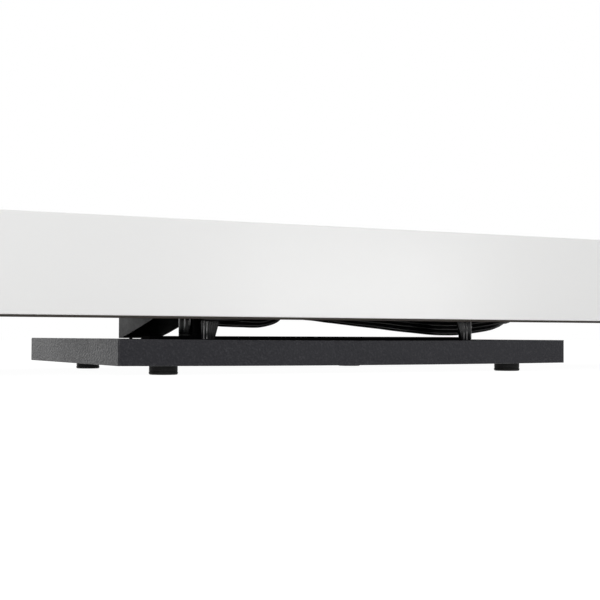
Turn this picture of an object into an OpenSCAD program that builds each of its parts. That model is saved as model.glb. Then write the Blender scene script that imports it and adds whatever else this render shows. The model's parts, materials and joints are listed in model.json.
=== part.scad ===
// Slim digital piano with 88 keys on a low plate stand.
// X runs along the keyboard, from bass (-X) to treble (+X).  The player sits on the -Y side and the
// rear apron is on the +Y side.  The origin is on the floor under the middle of the object.

/* [Stand] */
// Length of the base plate
plate_len = 540; // [500:5:600]
// Depth of the base plate
plate_dep = 306; // [300:2:320]
// Thickness of the base plate
plate_th = 26; // [22:1:30]
// Height of a rubber foot
foot_h = 9.5; // [8:0.5:14]
// Diameter of a rubber foot
foot_d = 29; // [24:1:34]
// Distance of a foot's middle from the plate's end
foot_inset_x = 58; // [40:1:80]
// Distance of a foot's middle from the plate's long edge
foot_inset_y = 31; // [28:1:45]
// Distance between the outer sides of the two posts
bridge_w = 336; // [320:2:360]
// Diameter of the round post
round_post_d = 14; // [11:0.5:15]

/* [Body] */
// Length of the piano body
body_len = 1320; // [1310:5:1340]
// Height of the rear apron
apron_h = 98; // [94:1:110]
// Thickness of the rear apron
apron_th = 12; // [10:1:14]
// Gap between the base plate and the lower edge of the rear apron
apron_gap = 20.2; // [18:0.2:24]
// Thickness of the top case
case_th = 4; // [4:0.5:5]

/* [Keyboard] */
// Distance from one natural key to the next
key_pitch = 23.5; // [23:0.1:23.6]
// Gap between two natural keys
key_gap = 1; // [0.8:0.1:1.4]
// Width of a sharp key
sharp_w = 10.6; // [9.6:0.2:11]
// Visible length of a natural key's wide head
head_len = 49; // [46:1:51]
// Radius of the pivot rod that all keys turn on
rod_r = 2; // [1.5:0.1:2.2]
// Clearance between the pivot rod and a key's bore
rod_clear = 0.06; // [0.03:0.01:0.1]

/* [Controls] */
// Diameter of the volume knob
knob_d = 26; // [20:1:30]
// Clearance round a button in its hole
button_clear = 0.4; // [0.3:0.1:0.6]
// Length of the music rest
rest_len = 475; // [400:5:475]

/* [Hidden] */
$fn = 48;

// Levels above the floor
plate_z0 = foot_h;
plate_z1 = plate_z0 + plate_th;
bar_th = 3;
bar_z = plate_z1 + bar_th;
pad_z = plate_z1 + 2;
apron_z0 = plate_z1 + apron_gap;
strip_h = 2.2;
top_z = apron_z0 + apron_h;
pan_z = plate_z1 + 32.5;
pan_th = 1.5;
floor_z = pan_z + pan_th;

// Depth and length of the body
back_y = plate_dep / 2;
front_y = -back_y;
apron_y = back_y - apron_th;
half_len = body_len / 2;
cheek_th = 12;
inner_x = half_len - cheek_th;

// Keyboard levels: the pivot, the naturals' body and the sharps' head
slip_th = 3.5;
key_front = front_y + slip_th + 1;
key_z0 = plate_z1 + 82.5;
key_th = 14;
key_z1 = key_z0 + key_th;
skirt_h = 6;
skirt_y = key_front + 8.5;
sharp_front = key_front + head_len + 1.5;
sharp_top = key_z1 + 12;
key_back = 77;
pivot_y = 67;
pivot_z = key_z0 + 6;
keys_x0 = -26 * key_pitch;
keys_half = 26 * key_pitch;
octave = 7 * key_pitch;
low_slot = 3 * key_pitch / 5;
high_slot = 4 * key_pitch / 7;
lip_y = 3;

// Posts, wedge and screws
bridge_x = bridge_w / 2;
post_y = back_y - 40;
post_th = 3;
left_post_w = 15.5;
left_post_slope = 0.285;
right_post_w = 12.6;
right_post_slope = 0.37;
left_flange_dep = 28;
right_flange_dep = 22.5;
bar_y0 = post_y - 29;
bar_y1 = post_y - post_th;
bar_x1 = plate_len / 2 - 48;
round_x = 176.7;
round_y = 93;
collar_h = 2.4;
wedge_x0 = 120;
wedge_x1 = 168;
screw_r = 2;
screw_hole_r = 2.1;
head_r = 3.8;
head_h = 2.2;

foot_x = plate_len / 2 - foot_inset_x;
foot_y = plate_dep / 2 - foot_inset_y;
// X, Y and diameter of each foot. The front foot under the treble is a little smaller, and the one
// under the bass stands further in than the others, close to the plate's edge
foot_spots = [[foot_x, foot_y, foot_d], [foot_x - 1, 0.5 - foot_y, foot_d - 2.3],
    [1 - foot_x, foot_y, foot_d], [62 - foot_x, -15 - foot_y, foot_d]];
bar_screw_spots = [for (x = [-130, -10, 110, 215]) [x, bar_y0 + 10]];
wedge_screw_spots = [for (x = [132, 156]) [x, -128]];
post_screw_spots = [for (s = [-1, 1]) [s * (bridge_x - 12), post_y - 13]];
rear_screw_spots = [for (x = [-620, -420, -210, 0, 210, 420, 620]) [x, apron_y - 8]];
front_screw_spots = [for (x = [-600, -360, -80, 80, 360, 600]) [x, -128]];

// Music rest, speakers, controls and jacks
rest_y = 24;
rest_back = 137;
rest_z = top_z - 3.7;
barrel_r = 3.4;
tub_x = rest_len / 2 + 1;
tub_y0 = 20;
tub_y1 = 139.5;
tub_z = top_z - 7.5;
grille_x = 545;
grille_w = 180;
grille_y0 = 92;
grille_y1 = 136;
speaker_y = (grille_y0 + grille_y1) / 2;
button_y = 36;
button_x = [-395, -365, -335];
standoff_spots = [[-410, 28], [-320, 28], [-410, 76], [-320, 76], [335, 54], [355, 54]];
button_w = 16;
button_d = 8;
power_x = 345;
power_r = 6;
knob_x = -345;
knob_y = 64;
board_z = top_z - 16;
flange_z = top_z - case_th - 1.9;
jack_x = -520;
jack_w = 150;
jack_z0 = pan_z + 8;
jack_z1 = pan_z + 34;
jack_spots = [-575, -552, -529, -506];
dc_x = -470;
jack_mid_z = (jack_z0 + jack_z1) / 2;

// Looms: hand-chosen points of each bundle's middle, from grommet to grommet, with half its height there
left_route = [
    [152, 72, 69, 4.5], [149.8, 72, 64, 4.6], [145.5, 72, 59.5, 5], [139, 72, 56.4, 5.6], [131, 72, 54.9, 6.2],
    [116, 72, 54.3, 6.3], [101, 72, 54, 6.3], [90, 72, 53.5, 6.2], [81, 72, 53.5, 6], [73, 72, 54.4, 5.5],
    [65.5, 72, 56.6, 5], [60.8, 72, 59.4, 4.6], [57.6, 72, 64, 4.5], [56, 72, 69, 4.5]];
right_route = [
    [36, 58, 69, 5.5], [33.6, 58, 66.4, 5.5], [30.5, 58, 64.4, 5.5], [26.9, 58, 63, 5.5], [22, 58, 62.1, 5.5],
    [10, 58, 61.2, 5.9], [-6, 58, 60.2, 6.6], [-26, 58, 59.6, 7.2], [-51, 58, 58.3, 8.4], [-77, 58, 56.7, 9.2],
    [-100, 58, 54.5, 9.5], [-127, 58, 52.2, 9.5], [-150, 58, 50.3, 9.5], [-168, 58, 49.8, 9.5],
    [-186, 58, 50.1, 9.5], [-208, 58, 52.2, 9.4], [-233, 58, 55.7, 9.2], [-248.5, 58, 58.3, 7.2],
    [-256, 58, 59.8, 6], [-262, 58, 62.1, 5.6], [-265.8, 58, 64.1, 5.5], [-268.2, 58, 66.3, 5.5],
    [-270, 58, 69, 5.5]];
single_route = [
    [178, 116, 69, 2.1], [177, 116, 65, 2.1], [174.3, 116, 60.2, 2.1], [169.5, 116, 57, 2.1],
    [162, 116, 55.8, 2.1], [152, 116, 55.7, 2.1], [142, 115, 55.6, 2.1], [132, 110.5, 55.4, 2.1],
    [121, 104.5, 55.8, 2.1], [111, 100, 57.6, 2.1], [104, 97.4, 60.6, 2.1], [100.5, 96.3, 64.6, 2.1],
    [99.5, 96, 69, 2.1]];
left_loom_r = 4.5;
right_loom_r = 5.5;
single_r = 2.1;
loom_sides = 10;

/* Helpers */

// A YZ outline carried along X from x0 to x1
module along_x(x0, x1) {
    translate([x0, 0, 0]) rotate([90, 0, 90]) linear_extrude(x1 - x0) children();
}

// A box given by its two corners
module block(low, high) {
    translate(low) cube(high - low);
}

// The points of a quarter circle, counter-clockwise from angle a
function quarter(x, y, r, a) = [for (i = [0:5]) [x + r * cos(a + 18 * i), y + r * sin(a + 18 * i)]];

// A rectangle with its own corner radius at each corner: lower left, lower right, upper right, upper left
function rounded(x0, y0, x1, y1, r) = concat(
    quarter(x0 + r[0], y0 + r[0], r[0], 180),
    quarter(x1 - r[1], y0 + r[1], r[1], 270),
    quarter(x1 - r[2], y1 - r[2], r[2], 0),
    quarter(x0 + r[3], y1 - r[3], r[3], 90));

// Straight cylinders along Z at each spot, for holes, pins and standoffs
module rounds(spots, r, z0, z1) {
    for (p = spots) translate([p[0], p[1], z0]) cylinder(r = r, h = z1 - z0);
}

// A screw that points up: its head hangs below z, its shank reaches up by len
module screw_up(p, z, len) {
    translate([p[0], p[1], z - head_h]) cylinder(r = head_r, h = head_h);
    translate([p[0], p[1], z]) cylinder(r = screw_r, h = len);
}

// The cone of a countersunk head, from the screw's radius up to the head's
module countersink(h, r) {
    cylinder(r1 = screw_r, r2 = r, h = h);
}

// A stadium shape, long along X, with its middle at the origin
module stadium(w, d, h) {
    for (s = [-1, 1]) translate([s * (w - d) / 2, 0, 0]) cylinder(d = d, h = h);
    translate([-(w - d) / 2, -d / 2, 0]) cube([w - d, d, h]);
}

// The two places where a loom goes through the pan
function loom_ends(route) = [route[0], route[len(route) - 1]];

// Unit vector, a route point's place, and the oval ring of a tube's points there
function unit(v) = v / norm(v);
function spot(p, i) = [p[i][0], p[i][1], p[i][2]];
function route_dir(p, i) = unit(spot(p, min(i + 1, len(p) - 1)) - spot(p, max(i - 1, 0)));
function ring(p, i, r) = let (
        d = i == 0 || i == len(p) - 1 ? [0, 0, i == 0 ? -1 : 1] : route_dir(p, i),
        side = i == 0 || i == len(p) - 1 ? [0, 1, 0] : unit(cross([0, 0, 1], [d[0], d[1], 0]) * (d[0] < 0 ? -1 : 1)),
        up = cross(d, side))
    [for (k = [0:loom_sides - 1])
        spot(p, i) + r * cos(360 * k / loom_sides) * side + p[i][3] * sin(360 * k / loom_sides) * up];

// A tube swept along a route's own points, r wide to each side and as high as the route says
module loom_tube(p, r) {
    n = len(p);
    m = loom_sides;
    points = [for (i = [0:n - 1]) each ring(p, i, r)];
    walls = [for (i = [0:n - 2], k = [0:m - 1])
        [i * m + k, i * m + (k + 1) % m, (i + 1) * m + (k + 1) % m, (i + 1) * m + k]];
    first = [[for (k = [m - 1:-1:0]) k]];
    last = [[for (k = [0:m - 1]) (n - 1) * m + k]];
    polyhedron(points, concat(walls, first, last), convexity = 6);
}

/* Stand */

module base_plate() {
    color([0.2, 0.2, 0.21]) difference() {
        intersection() {
            along_x(-plate_len / 2, plate_len / 2)
                polygon(rounded(front_y, plate_z0, back_y, plate_z1, [1.5, 1, 1, 5]));
            linear_extrude(plate_z1)
                polygon(rounded(-plate_len / 2, front_y, plate_len / 2, back_y, [2, 2, 2, 2]));
        }
        rounds(foot_spots, screw_hole_r, plate_z0 - 1, plate_z0 + 14);
        rounds(concat(bar_screw_spots, wedge_screw_spots), screw_hole_r, plate_z1 - 12, plate_z1 + 1);
    }
}

module rubber_feet() {
    color([0.04, 0.04, 0.04])
        for (p = foot_spots) translate([p[0], p[1], 0]) rotate_extrude() polygon([
            [5, 0], [p[2] / 2 - 1.2, 0], [p[2] / 2 - 0.4, 0.4], [p[2] / 2, 1.2],
            [p[2] / 2, 3], [p[2] / 2 - 0.4, 3.3], [p[2] / 2 - 0.4, foot_h],
            [screw_hole_r, foot_h], [screw_hole_r, 5], [5, 5]]);
}

module foot_screws() {
    color("silver") for (p = foot_spots) screw_up(p, 5, foot_h - 5 + 12);
}

module bridge_bar() {
    color([0.06, 0.06, 0.06]) difference() {
        block([-bridge_x, bar_y0, plate_z1], [bar_x1, bar_y1, bar_z]);
        rounds(bar_screw_spots, screw_hole_r, plate_z1 - 1, bar_z + 1);
        for (p = bar_screw_spots) translate([p[0], p[1], plate_z1]) countersink(bar_th, head_r + 0.1);
    }
}

// One bent-sheet post: a ribbed face that widens upwards, an outer side flange and a top tab.
// side is +1 for the left post, whose outer side looks along +X, and -1 for the right one.
module post(side, w, slope, flange_dep) {
    h = pan_z - plate_z1;
    top_w = w + slope * h;
    rib_at = [0.6, 4.2, 7.6];
    translate([side * bridge_x, post_y, plate_z1]) mirror([side > 0 ? 1 : 0, 0, 0]) difference() {
        union() {
            rotate([90, 0, 0]) linear_extrude(post_th) polygon([[0, 0], [w, 0], [top_w, h], [0, h]]);
            translate([0, -flange_dep, bar_th]) cube([post_th, flange_dep, h - bar_th]);
            translate([0, -flange_dep, h - 2]) cube([top_w - 1, flange_dep, 2]);
            for (x = rib_at) translate([x, 0, 0]) cube([0.9, 0.6, h]);
        }
        translate([12, -13, h - 3]) cylinder(r = screw_hole_r, h = 4);
    }
}

module left_post() {
    color([0.07, 0.07, 0.08]) post(1, left_post_w, left_post_slope, left_flange_dep);
}

module right_post() {
    color([0.07, 0.07, 0.08]) post(-1, right_post_w, right_post_slope, right_flange_dep);
}

module round_post() {
    color([0.05, 0.05, 0.05]) translate([round_x, round_y, bar_z + collar_h])
        cylinder(d = round_post_d, h = pan_z - bar_z - collar_h);
}

module post_collar() {
    color([0.02, 0.02, 0.02]) translate([round_x, round_y, bar_z])
        cylinder(d = round_post_d, h = collar_h);
}

// Black moulded wedge: flat where it bears on its pad, then an underside that rises towards the rear
module support_wedge() {
    color([0.1, 0.1, 0.1]) difference() {
        along_x(wedge_x0, wedge_x1) polygon([
            [-137, pad_z], [-119, pad_z], [-107.5, pad_z + 2.1], [-95.5, pad_z + 4.4],
            [23, pan_z - 0.6], [23, pan_z], [-137, pan_z]]);
        rounds(wedge_screw_spots, screw_hole_r, pad_z - 1, pad_z + 12);
    }
}

module wedge_pad() {
    color([0.03, 0.03, 0.03]) difference() {
        block([wedge_x0, -137, plate_z1], [wedge_x1, -119, pad_z]);
        rounds(wedge_screw_spots, screw_hole_r, plate_z1 - 1, pad_z + 1);
    }
}

// Countersunk screws that hold the bar down on the plate, and studs that pin the wedge and its pad
module stand_screws() {
    color("dimgray") {
        for (p = bar_screw_spots) {
            translate([p[0], p[1], plate_z1]) countersink(bar_th - 0.1, head_r);
            translate([p[0], p[1], bar_z - 12]) cylinder(r = screw_r, h = 12 - bar_th + 0.5);
        }
        rounds(wedge_screw_spots, screw_r, plate_z1 - 11, pad_z + 11);
    }
}

// Screws from below through the posts' top tabs into the bottom pan
module post_screws() {
    color("dimgray") for (p = post_screw_spots) screw_up(p, pan_z - 2, 2 + pan_th + 2);
}

/* Body shell */

module rear_apron() {
    color("white") difference() {
        along_x(-half_len, half_len) polygon(rounded(apron_y, apron_z0 + strip_h, back_y, top_z,
            [0.5, 1, 0.8, 0.4]));
        block([jack_x - jack_w / 2, apron_y - 1, jack_z0], [jack_x + jack_w / 2, back_y + 1, jack_z1]);
    }
}

module apron_edge_strip() {
    color([0.2, 0.16, 0.13]) block([-half_len, apron_y + 0.5, apron_z0],
        [half_len, back_y - 0.3, apron_z0 + strip_h]);
}

// Top cover with the strip behind the keys, the tub for the folded music rest and all its openings
module top_case() {
    wall = 3.5;
    color("white") rounds([for (x = [-180, 0, 180]) [x, 124]], 5, tub_z - 0.5, rest_z - 0.6);
    color("white") difference() {
        union() {
            block([-inner_x, lip_y, top_z - case_th], [inner_x, apron_y, top_z]);
            block([-inner_x, lip_y, key_z1 + 2.5], [inner_x, lip_y + 4, top_z]);
            block([-tub_x - wall, tub_y0 - wall, tub_z - 3], [tub_x + wall, apron_y, top_z]);
        }
        block([-tub_x, tub_y0, tub_z], [tub_x, tub_y1, top_z + 1]);
        for (s = [-1, 1]) {
            block([s * grille_x - grille_w / 2, grille_y0, top_z - case_th - 1],
                [s * grille_x + grille_w / 2, grille_y1, top_z + 1]);
            translate([s * (tub_x + 3.2), rest_y, rest_z]) rotate([0, -s * 90, 0])
                cylinder(r = 1.52, h = 10);
        }
        for (x = button_x) block(
            [x - button_w / 2 - button_clear, button_y - button_d / 2 - button_clear, top_z - case_th - 1],
            [x + button_w / 2 + button_clear, button_y + button_d / 2 + button_clear, top_z + 1]);
        translate([power_x, button_y, top_z - case_th - 1])
            cylinder(r = power_r + button_clear, h = case_th + 2);
        translate([knob_x, knob_y, top_z - case_th - 1]) cylinder(r = 3.6, h = case_th + 2);
    }
}

module bottom_pan() {
    color([0.08, 0.08, 0.08]) difference() {
        block([-inner_x, front_y + slip_th, pan_z], [inner_x, apron_y, floor_z]);
        rounds(concat(rear_screw_spots, front_screw_spots, post_screw_spots), screw_hole_r,
            pan_z - 1, floor_z + 1);
        rounds(loom_ends(left_route), left_loom_r + 3.6, pan_z - 1, floor_z + 1);
        rounds(loom_ends(right_route), right_loom_r + 3.6, pan_z - 1, floor_z + 1);
        rounds(loom_ends(single_route), single_r + 3.6, pan_z - 1, floor_z + 1);
    }
}

// Side cheek: full height at the rear, stepped down to the height of the keys in front
module cheek(x0, x1) {
    rest_h = key_z1 + 8;
    color("white") along_x(x0, x1) polygon(concat(
        [[apron_y, apron_z0 + 4], [apron_y, top_z], [lip_y, top_z], [lip_y - 14, top_z - 3],
            [lip_y - 34, rest_h + 2], [lip_y - 48, rest_h]],
        quarter(front_y + 5, rest_h - 5, 5, 90),
        quarter(front_y + 3, pan_z + 1, 3, 180)));
}

module left_cheek() {
    cheek(-half_len, -inner_x);
}

module right_cheek() {
    cheek(inner_x, half_len);
}

module key_slip() {
    color("white") along_x(-inner_x, inner_x) polygon(rounded(front_y, pan_z - 2, front_y + slip_th,
        key_z0 + 1, [0.5, 0.5, 0.5, 1.5]));
}

module key_blocks() {
    color("white") for (s = [-1, 1]) {
        x0 = s > 0 ? keys_half + 1.5 : -inner_x;
        x1 = s > 0 ? inner_x : -keys_half - 1.5;
        block([x0, front_y + slip_th, floor_z + 10], [x1, lip_y, key_z1 + 4]);
    }
}

// Battens that join the apron to the pan on both sides of the jacks
module rear_cleat() {
    color([0.6, 0.5, 0.35]) difference() {
        union() {
            block([-430, apron_y - 16, floor_z], [635, apron_y, floor_z + 18]);
            block([-640, apron_y - 16, floor_z], [-606, apron_y, floor_z + 18]);
        }
        rounds(rear_screw_spots, screw_hole_r, floor_z - 1, floor_z + 14);
    }
}

module pan_screws() {
    color("silver") {
        for (p = concat(rear_screw_spots, front_screw_spots)) screw_up(p, pan_z, pan_th + 10);
    }
}

/* Keyboard action */

// Left edge of octave k, counted from its C; the keyboard starts with A and B of octave -1
function octave_x(k) = keys_x0 + key_pitch * (2 + 7 * k);
// Left edge of a tail slot inside an octave, for pitch class 0 (C) to 12 (the next C)
function slot_x(p) = p <= 5 ? p * low_slot : 5 * low_slot + (p - 5) * high_slot;
// The seven naturals' places among the heads, by pitch class
head_index = [0, -1, 1, -1, 2, 3, -1, 4, -1, 5, -1, 6];
function octaves_of(p) = p >= 9 ? [-1:6] : p == 0 ? [0:7] : [0:6];
// Middle of a key's tail
function tail_mid(k, p) = octave_x(k) + (slot_x(p) + slot_x(p + 1)) / 2;

// One natural: its wide head, its narrower tail between the sharps, and its bore on the pivot rod
module natural(k, p) {
    g = key_gap / 2;
    head0 = octave_x(k) + head_index[p] * key_pitch + g;
    head1 = head0 + key_pitch - key_gap;
    lowest = k < 0 && p == 9;
    highest = k == 7 && p == 0;
    tail0 = lowest ? head0 : octave_x(k) + slot_x(p) + g;
    tail1 = highest ? head1 : octave_x(k) + slot_x(p + 1) - g;
    head_back = key_front + head_len;
    difference() {
        union() {
            block([head0, key_front, key_z0], [head1, head_back, key_z1]);
            block([tail0, key_front + 20, key_z0], [tail1, key_back, key_z1]);
            block([head0, key_front, key_z0 - skirt_h], [head1, skirt_y, key_z1]);
        }
        translate([tail0 - 5, pivot_y, pivot_z]) rotate([0, 90, 0])
            cylinder(r = rod_r + rod_clear, h = tail1 - tail0 + 10);
    }
}

// One sharp: a raised head with a sloped front, and a low tail
module sharp(k, p) {
    x = tail_mid(k, p);
    difference() {
        along_x(x - sharp_w / 2, x + sharp_w / 2) polygon([
            [sharp_front, key_z0], [sharp_front + 5, sharp_top - 1], [sharp_front + 8, sharp_top],
            [lip_y - 4, sharp_top], [lip_y - 4, key_z1 - 2], [key_back, key_z1 - 2], [key_back, key_z0]]);
        translate([x - sharp_w, pivot_y, pivot_z]) rotate([0, 90, 0])
            cylinder(r = rod_r + rod_clear, h = 2 * sharp_w);
    }
}

// All keys of one pitch class
module key_set(p) {
    if (head_index[p] >= 0)
        color("ivory") for (k = octaves_of(p)) natural(k, p);
    else
        color([0.05, 0.05, 0.05]) for (k = octaves_of(p)) sharp(k, p);
}

module keys_c() { key_set(0); }
module keys_c_sharp() { key_set(1); }
module keys_d() { key_set(2); }
module keys_d_sharp() { key_set(3); }
module keys_e() { key_set(4); }
module keys_f() { key_set(5); }
module keys_f_sharp() { key_set(6); }
module keys_g() { key_set(7); }
module keys_g_sharp() { key_set(8); }
module keys_a() { key_set(9); }
module keys_a_sharp() { key_set(10); }
module keys_b() { key_set(11); }

// Frame under the keys: floor, front stop rail, contact shelf, spring rail and the pivot's hangers
hanger_th = 1.3;
hanger_spots = [for (k = [0:6]) octave_x(k) + low_slot];
contact_z = key_z0 - 10;
spring_top = key_z0 - 0.3;
spring_z = key_z0 - 16;

module key_frame() {
    end_x = keys_half + 6;
    rail_x = keys_half + 1;
    color([0.25, 0.27, 0.3]) difference() {
        union() {
            block([-end_x, -140, floor_z], [end_x, 90, floor_z + 3]);
            block([-rail_x, -136, floor_z], [rail_x, -120, key_z0 - 13]);
            block([-rail_x, -34, floor_z], [rail_x, -6, contact_z]);
            block([-end_x, 69, floor_z], [end_x, 90, spring_z]);
            for (x = hanger_spots) hanger(x, x + hanger_th);
            hanger(-end_x, -end_x + 4);
            hanger(end_x - 4, end_x);
        }
        rounds(front_screw_spots, screw_hole_r, floor_z - 1, floor_z + 12);
        rounds(loom_ends(left_route), left_loom_r + 4, floor_z - 1, floor_z + 5);
        rounds(loom_ends(right_route), right_loom_r + 4, floor_z - 1, floor_z + 5);
    }
}

module hanger(x0, x1) {
    difference() {
        block([x0, 60, floor_z], [x1, 74, key_z1 - 2.5]);
        translate([x0 - 1, pivot_y, pivot_z]) rotate([0, 90, 0]) cylinder(r = rod_r + 0.02, h = x1 - x0 + 2);
    }
}

module pivot_rod() {
    color("silver") translate([-keys_half - 6, pivot_y, pivot_z]) rotate([0, 90, 0])
        cylinder(r = rod_r, h = 2 * keys_half + 12);
}

// One return spring under the tail of each key, behind the pivot; the coil is drawn as its envelope
module key_springs() {
    color("silver") for (p = [0:11], k = octaves_of(p))
        translate([tail_mid(k, p), 74, spring_z]) difference() {
            cylinder(r = 2, h = spring_top - spring_z, $fn = 24);
            translate([0, 0, -1]) cylinder(r = 1.4, h = spring_top - spring_z + 2, $fn = 24);
        }
}

module stop_felt() {
    color([0.5, 0.08, 0.1]) block([-keys_half, -135, key_z0 - 13], [keys_half, -121, key_z0 - 9.5]);
}

module name_felt() {
    color([0.55, 0.05, 0.08]) block([-keys_half, lip_y - 2.5, key_z1 + 1], [keys_half, lip_y + 4, key_z1 + 2.5]);
}

module contact_board() {
    color([0.1, 0.35, 0.2]) block([-keys_half + 2, -32, contact_z], [keys_half - 2, -8, contact_z + 1.6]);
}

module contact_strip() {
    color([0.3, 0.3, 0.3]) block([-keys_half + 2, -26, contact_z + 1.6],
        [keys_half - 2, -14, contact_z + 5.3]);
}

/* Controls */

// A rectangular push button: cap above the case, retaining flange below it
module push_button(x) {
    color([0.15, 0.15, 0.15]) {
        block([x - button_w / 2, button_y - button_d / 2, top_z - 5], [x + button_w / 2, button_y + button_d / 2,
            top_z + 1]);
        block([x - button_w / 2 - 1.5, button_y - button_d / 2 - 1.5, flange_z],
            [x + button_w / 2 + 1.5, button_y + button_d / 2 + 1.5, flange_z + 1.8]);
    }
}

module button_1() { push_button(button_x[0]); }
module button_2() { push_button(button_x[1]); }
module button_3() { push_button(button_x[2]); }

module power_button() {
    color([0.15, 0.15, 0.15]) translate([power_x, button_y, flange_z]) {
        cylinder(r = power_r, h = top_z + 1 - flange_z);
        cylinder(r = power_r + 1.5, h = 1.8);
    }
}

module volume_knob() {
    color([0.1, 0.1, 0.1]) translate([knob_x, knob_y, 0]) {
        translate([0, 0, top_z + 0.6]) cylinder(d = knob_d, h = 6);
        translate([0, 0, board_z + 2.4]) cylinder(r = 3, h = top_z + 1 - board_z - 2.4);
    }
}

// Switch board under the left of the case with the volume pot, and a small one under the power button
module control_board() {
    color([0.1, 0.35, 0.2]) {
        block([-415, 24, board_z], [-315, 80, board_z + 1.6]);
        for (x = button_x) block([x - 3, button_y - 3, board_z], [x + 3, button_y + 3, top_z - 8]);
        difference() {
            translate([knob_x, knob_y, board_z]) cylinder(r = 8, h = 8);
            translate([knob_x, knob_y, board_z + 2]) cylinder(r = 3.4, h = 8);
        }
        block([power_x - 15, 24, board_z], [power_x + 15, 60, board_z + 1.6]);
        block([power_x - 3, button_y - 3, board_z], [power_x + 3, button_y + 3, top_z - 8]);
        rounds(standoff_spots, 2.5, board_z + 1, top_z - case_th);
    }
}

/* Music rest, folded flat in its tub; it turns up about its front edge */

module music_rest() {
    color([0.12, 0.12, 0.12]) difference() {
        union() {
            translate([-rest_len / 2, rest_y, rest_z]) rotate([0, 90, 0]) cylinder(r = barrel_r, h = rest_len);
            block([-rest_len / 2, rest_y, rest_z - 0.5], [rest_len / 2, rest_back, rest_z + barrel_r]);
        }
        for (s = [-1, 1]) translate([s * rest_len / 2, rest_y, rest_z]) rotate([0, -s * 90, 0])
            translate([0, 0, -1]) cylinder(r = 1.56, h = 9);
    }
}

module rest_pins() {
    color("silver") for (s = [-1, 1]) translate([s * (tub_x + 3), rest_y, rest_z]) rotate([0, -s * 90, 0])
        cylinder(r = 1.5, h = 11);
}

/* Electronics and speakers */

module main_board() {
    color([0.1, 0.35, 0.2]) {
        block([-260, 96, floor_z + 6], [-20, 122, floor_z + 7.6]);
        for (x = [-250, -30], y = [100, 118]) translate([x, y, floor_z]) cylinder(r = 3, h = 6.5);
        block([-180, 102, floor_z + 7.6], [-150, 118, floor_z + 11]);
        block([-100, 102, floor_z + 7.6], [-76, 116, floor_z + 10.5]);
        for (x = [-60, -48]) translate([x, 109, floor_z + 7.6]) cylinder(r = 4.5, h = 12);
    }
}

module jack_plate() {
    color([0.05, 0.05, 0.05]) difference() {
        block([jack_x - jack_w / 2 - 8, apron_y - 2.5, jack_z0 - 5], [jack_x + jack_w / 2 + 8, apron_y, jack_z1 + 5]);
        for (x = jack_spots) translate([x, apron_y + 1, jack_mid_z]) rotate([90, 0, 0]) cylinder(r = 5.6, h = 5);
        translate([dc_x, apron_y + 1, jack_mid_z]) rotate([90, 0, 0]) cylinder(r = 5.1, h = 5);
    }
}

module jacks() {
    color([0.06, 0.06, 0.06]) for (x = jack_spots) difference() {
        union() {
            translate([x, apron_y + 1, jack_mid_z]) rotate([90, 0, 0]) cylinder(r = 5.5, h = 4);
            block([x - 7, apron_y - 21, jack_mid_z - 7], [x + 7, apron_y - 2.6, jack_mid_z + 7]);
        }
        translate([x, apron_y + 2, jack_mid_z]) rotate([90, 0, 0]) cylinder(r = 3.2, h = 20);
    }
}

module dc_inlet() {
    color([0.06, 0.06, 0.06]) difference() {
        union() {
            translate([dc_x, apron_y + 1, jack_mid_z]) rotate([90, 0, 0]) cylinder(r = 5, h = 4);
            block([dc_x - 6, apron_y - 16, jack_mid_z - 6], [dc_x + 6, apron_y - 2.6, jack_mid_z + 6]);
        }
        translate([dc_x, apron_y + 2, jack_mid_z]) rotate([90, 0, 0]) cylinder(r = 2.8, h = 13);
    }
}

module speaker_baskets() {
    color([0.1, 0.1, 0.1]) for (s = [-1, 1]) translate([s * grille_x, speaker_y, 0]) difference() {
        union() {
            translate([0, 0, top_z - case_th - 2.6]) stadium(150, 44, 2.6);
            translate([0, 0, top_z - 26]) stadium(140, 37, 20);
        }
        translate([0, 0, top_z - 23]) stadium(134, 31, 30);
    }
}

module speaker_cones() {
    color([0.2, 0.2, 0.22]) for (s = [-1, 1]) translate([s * grille_x, speaker_y, 0]) {
        translate([0, 0, top_z - 15]) stadium(133.8, 30.8, 1.2);
        translate([0, 0, top_z - 14]) cylinder(r = 9, h = 2.5);
    }
}

module speaker_magnets() {
    color("dimgray") for (s = [-1, 1]) translate([s * grille_x, speaker_y, top_z - 40]) {
        cylinder(r = 20, h = 14);
        translate([0, 0, -3]) cylinder(r = 17, h = 4);
    }
}

module speaker_grilles() {
    slot_pitch = 6;
    color([0.08, 0.08, 0.08]) for (s = [-1, 1]) difference() {
        block([s * grille_x - grille_w / 2 + 0.3, grille_y0 + 0.3, top_z - case_th],
            [s * grille_x + grille_w / 2 - 0.3, grille_y1 - 0.3, top_z - 0.5]);
        for (i = [-13:13]) block([s * grille_x + i * slot_pitch - 1, speaker_y - 17, top_z - case_th - 1],
            [s * grille_x + i * slot_pitch + 1, speaker_y + 17, top_z + 1]);
    }
}

/* Looms of thin leads that hang in loops under the pan */

module left_loom() {
    color([0.03, 0.03, 0.03]) {
        loom_tube(left_route, left_loom_r);
        loom_tube(single_route, single_r);
    }
}

module right_loom() {
    color([0.03, 0.03, 0.03]) loom_tube(right_route, right_loom_r);
}

module grommet(p, r) {
    translate([p[0], p[1], pan_z - 1.5]) difference() {
        union() {
            cylinder(r = r + 2.9, h = pan_th + 3);
            cylinder(r = r + 4.4, h = 1.5);
        }
        translate([0, 0, -1]) cylinder(r = r + 0.3, h = pan_th + 6);
    }
}

module loom_grommets() {
    color([0.05, 0.05, 0.05]) {
        for (p = loom_ends(left_route)) grommet(p, left_loom_r);
        for (p = loom_ends(right_route)) grommet(p, right_loom_r);
        for (p = loom_ends(single_route)) grommet(p, single_r);
    }
}

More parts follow.
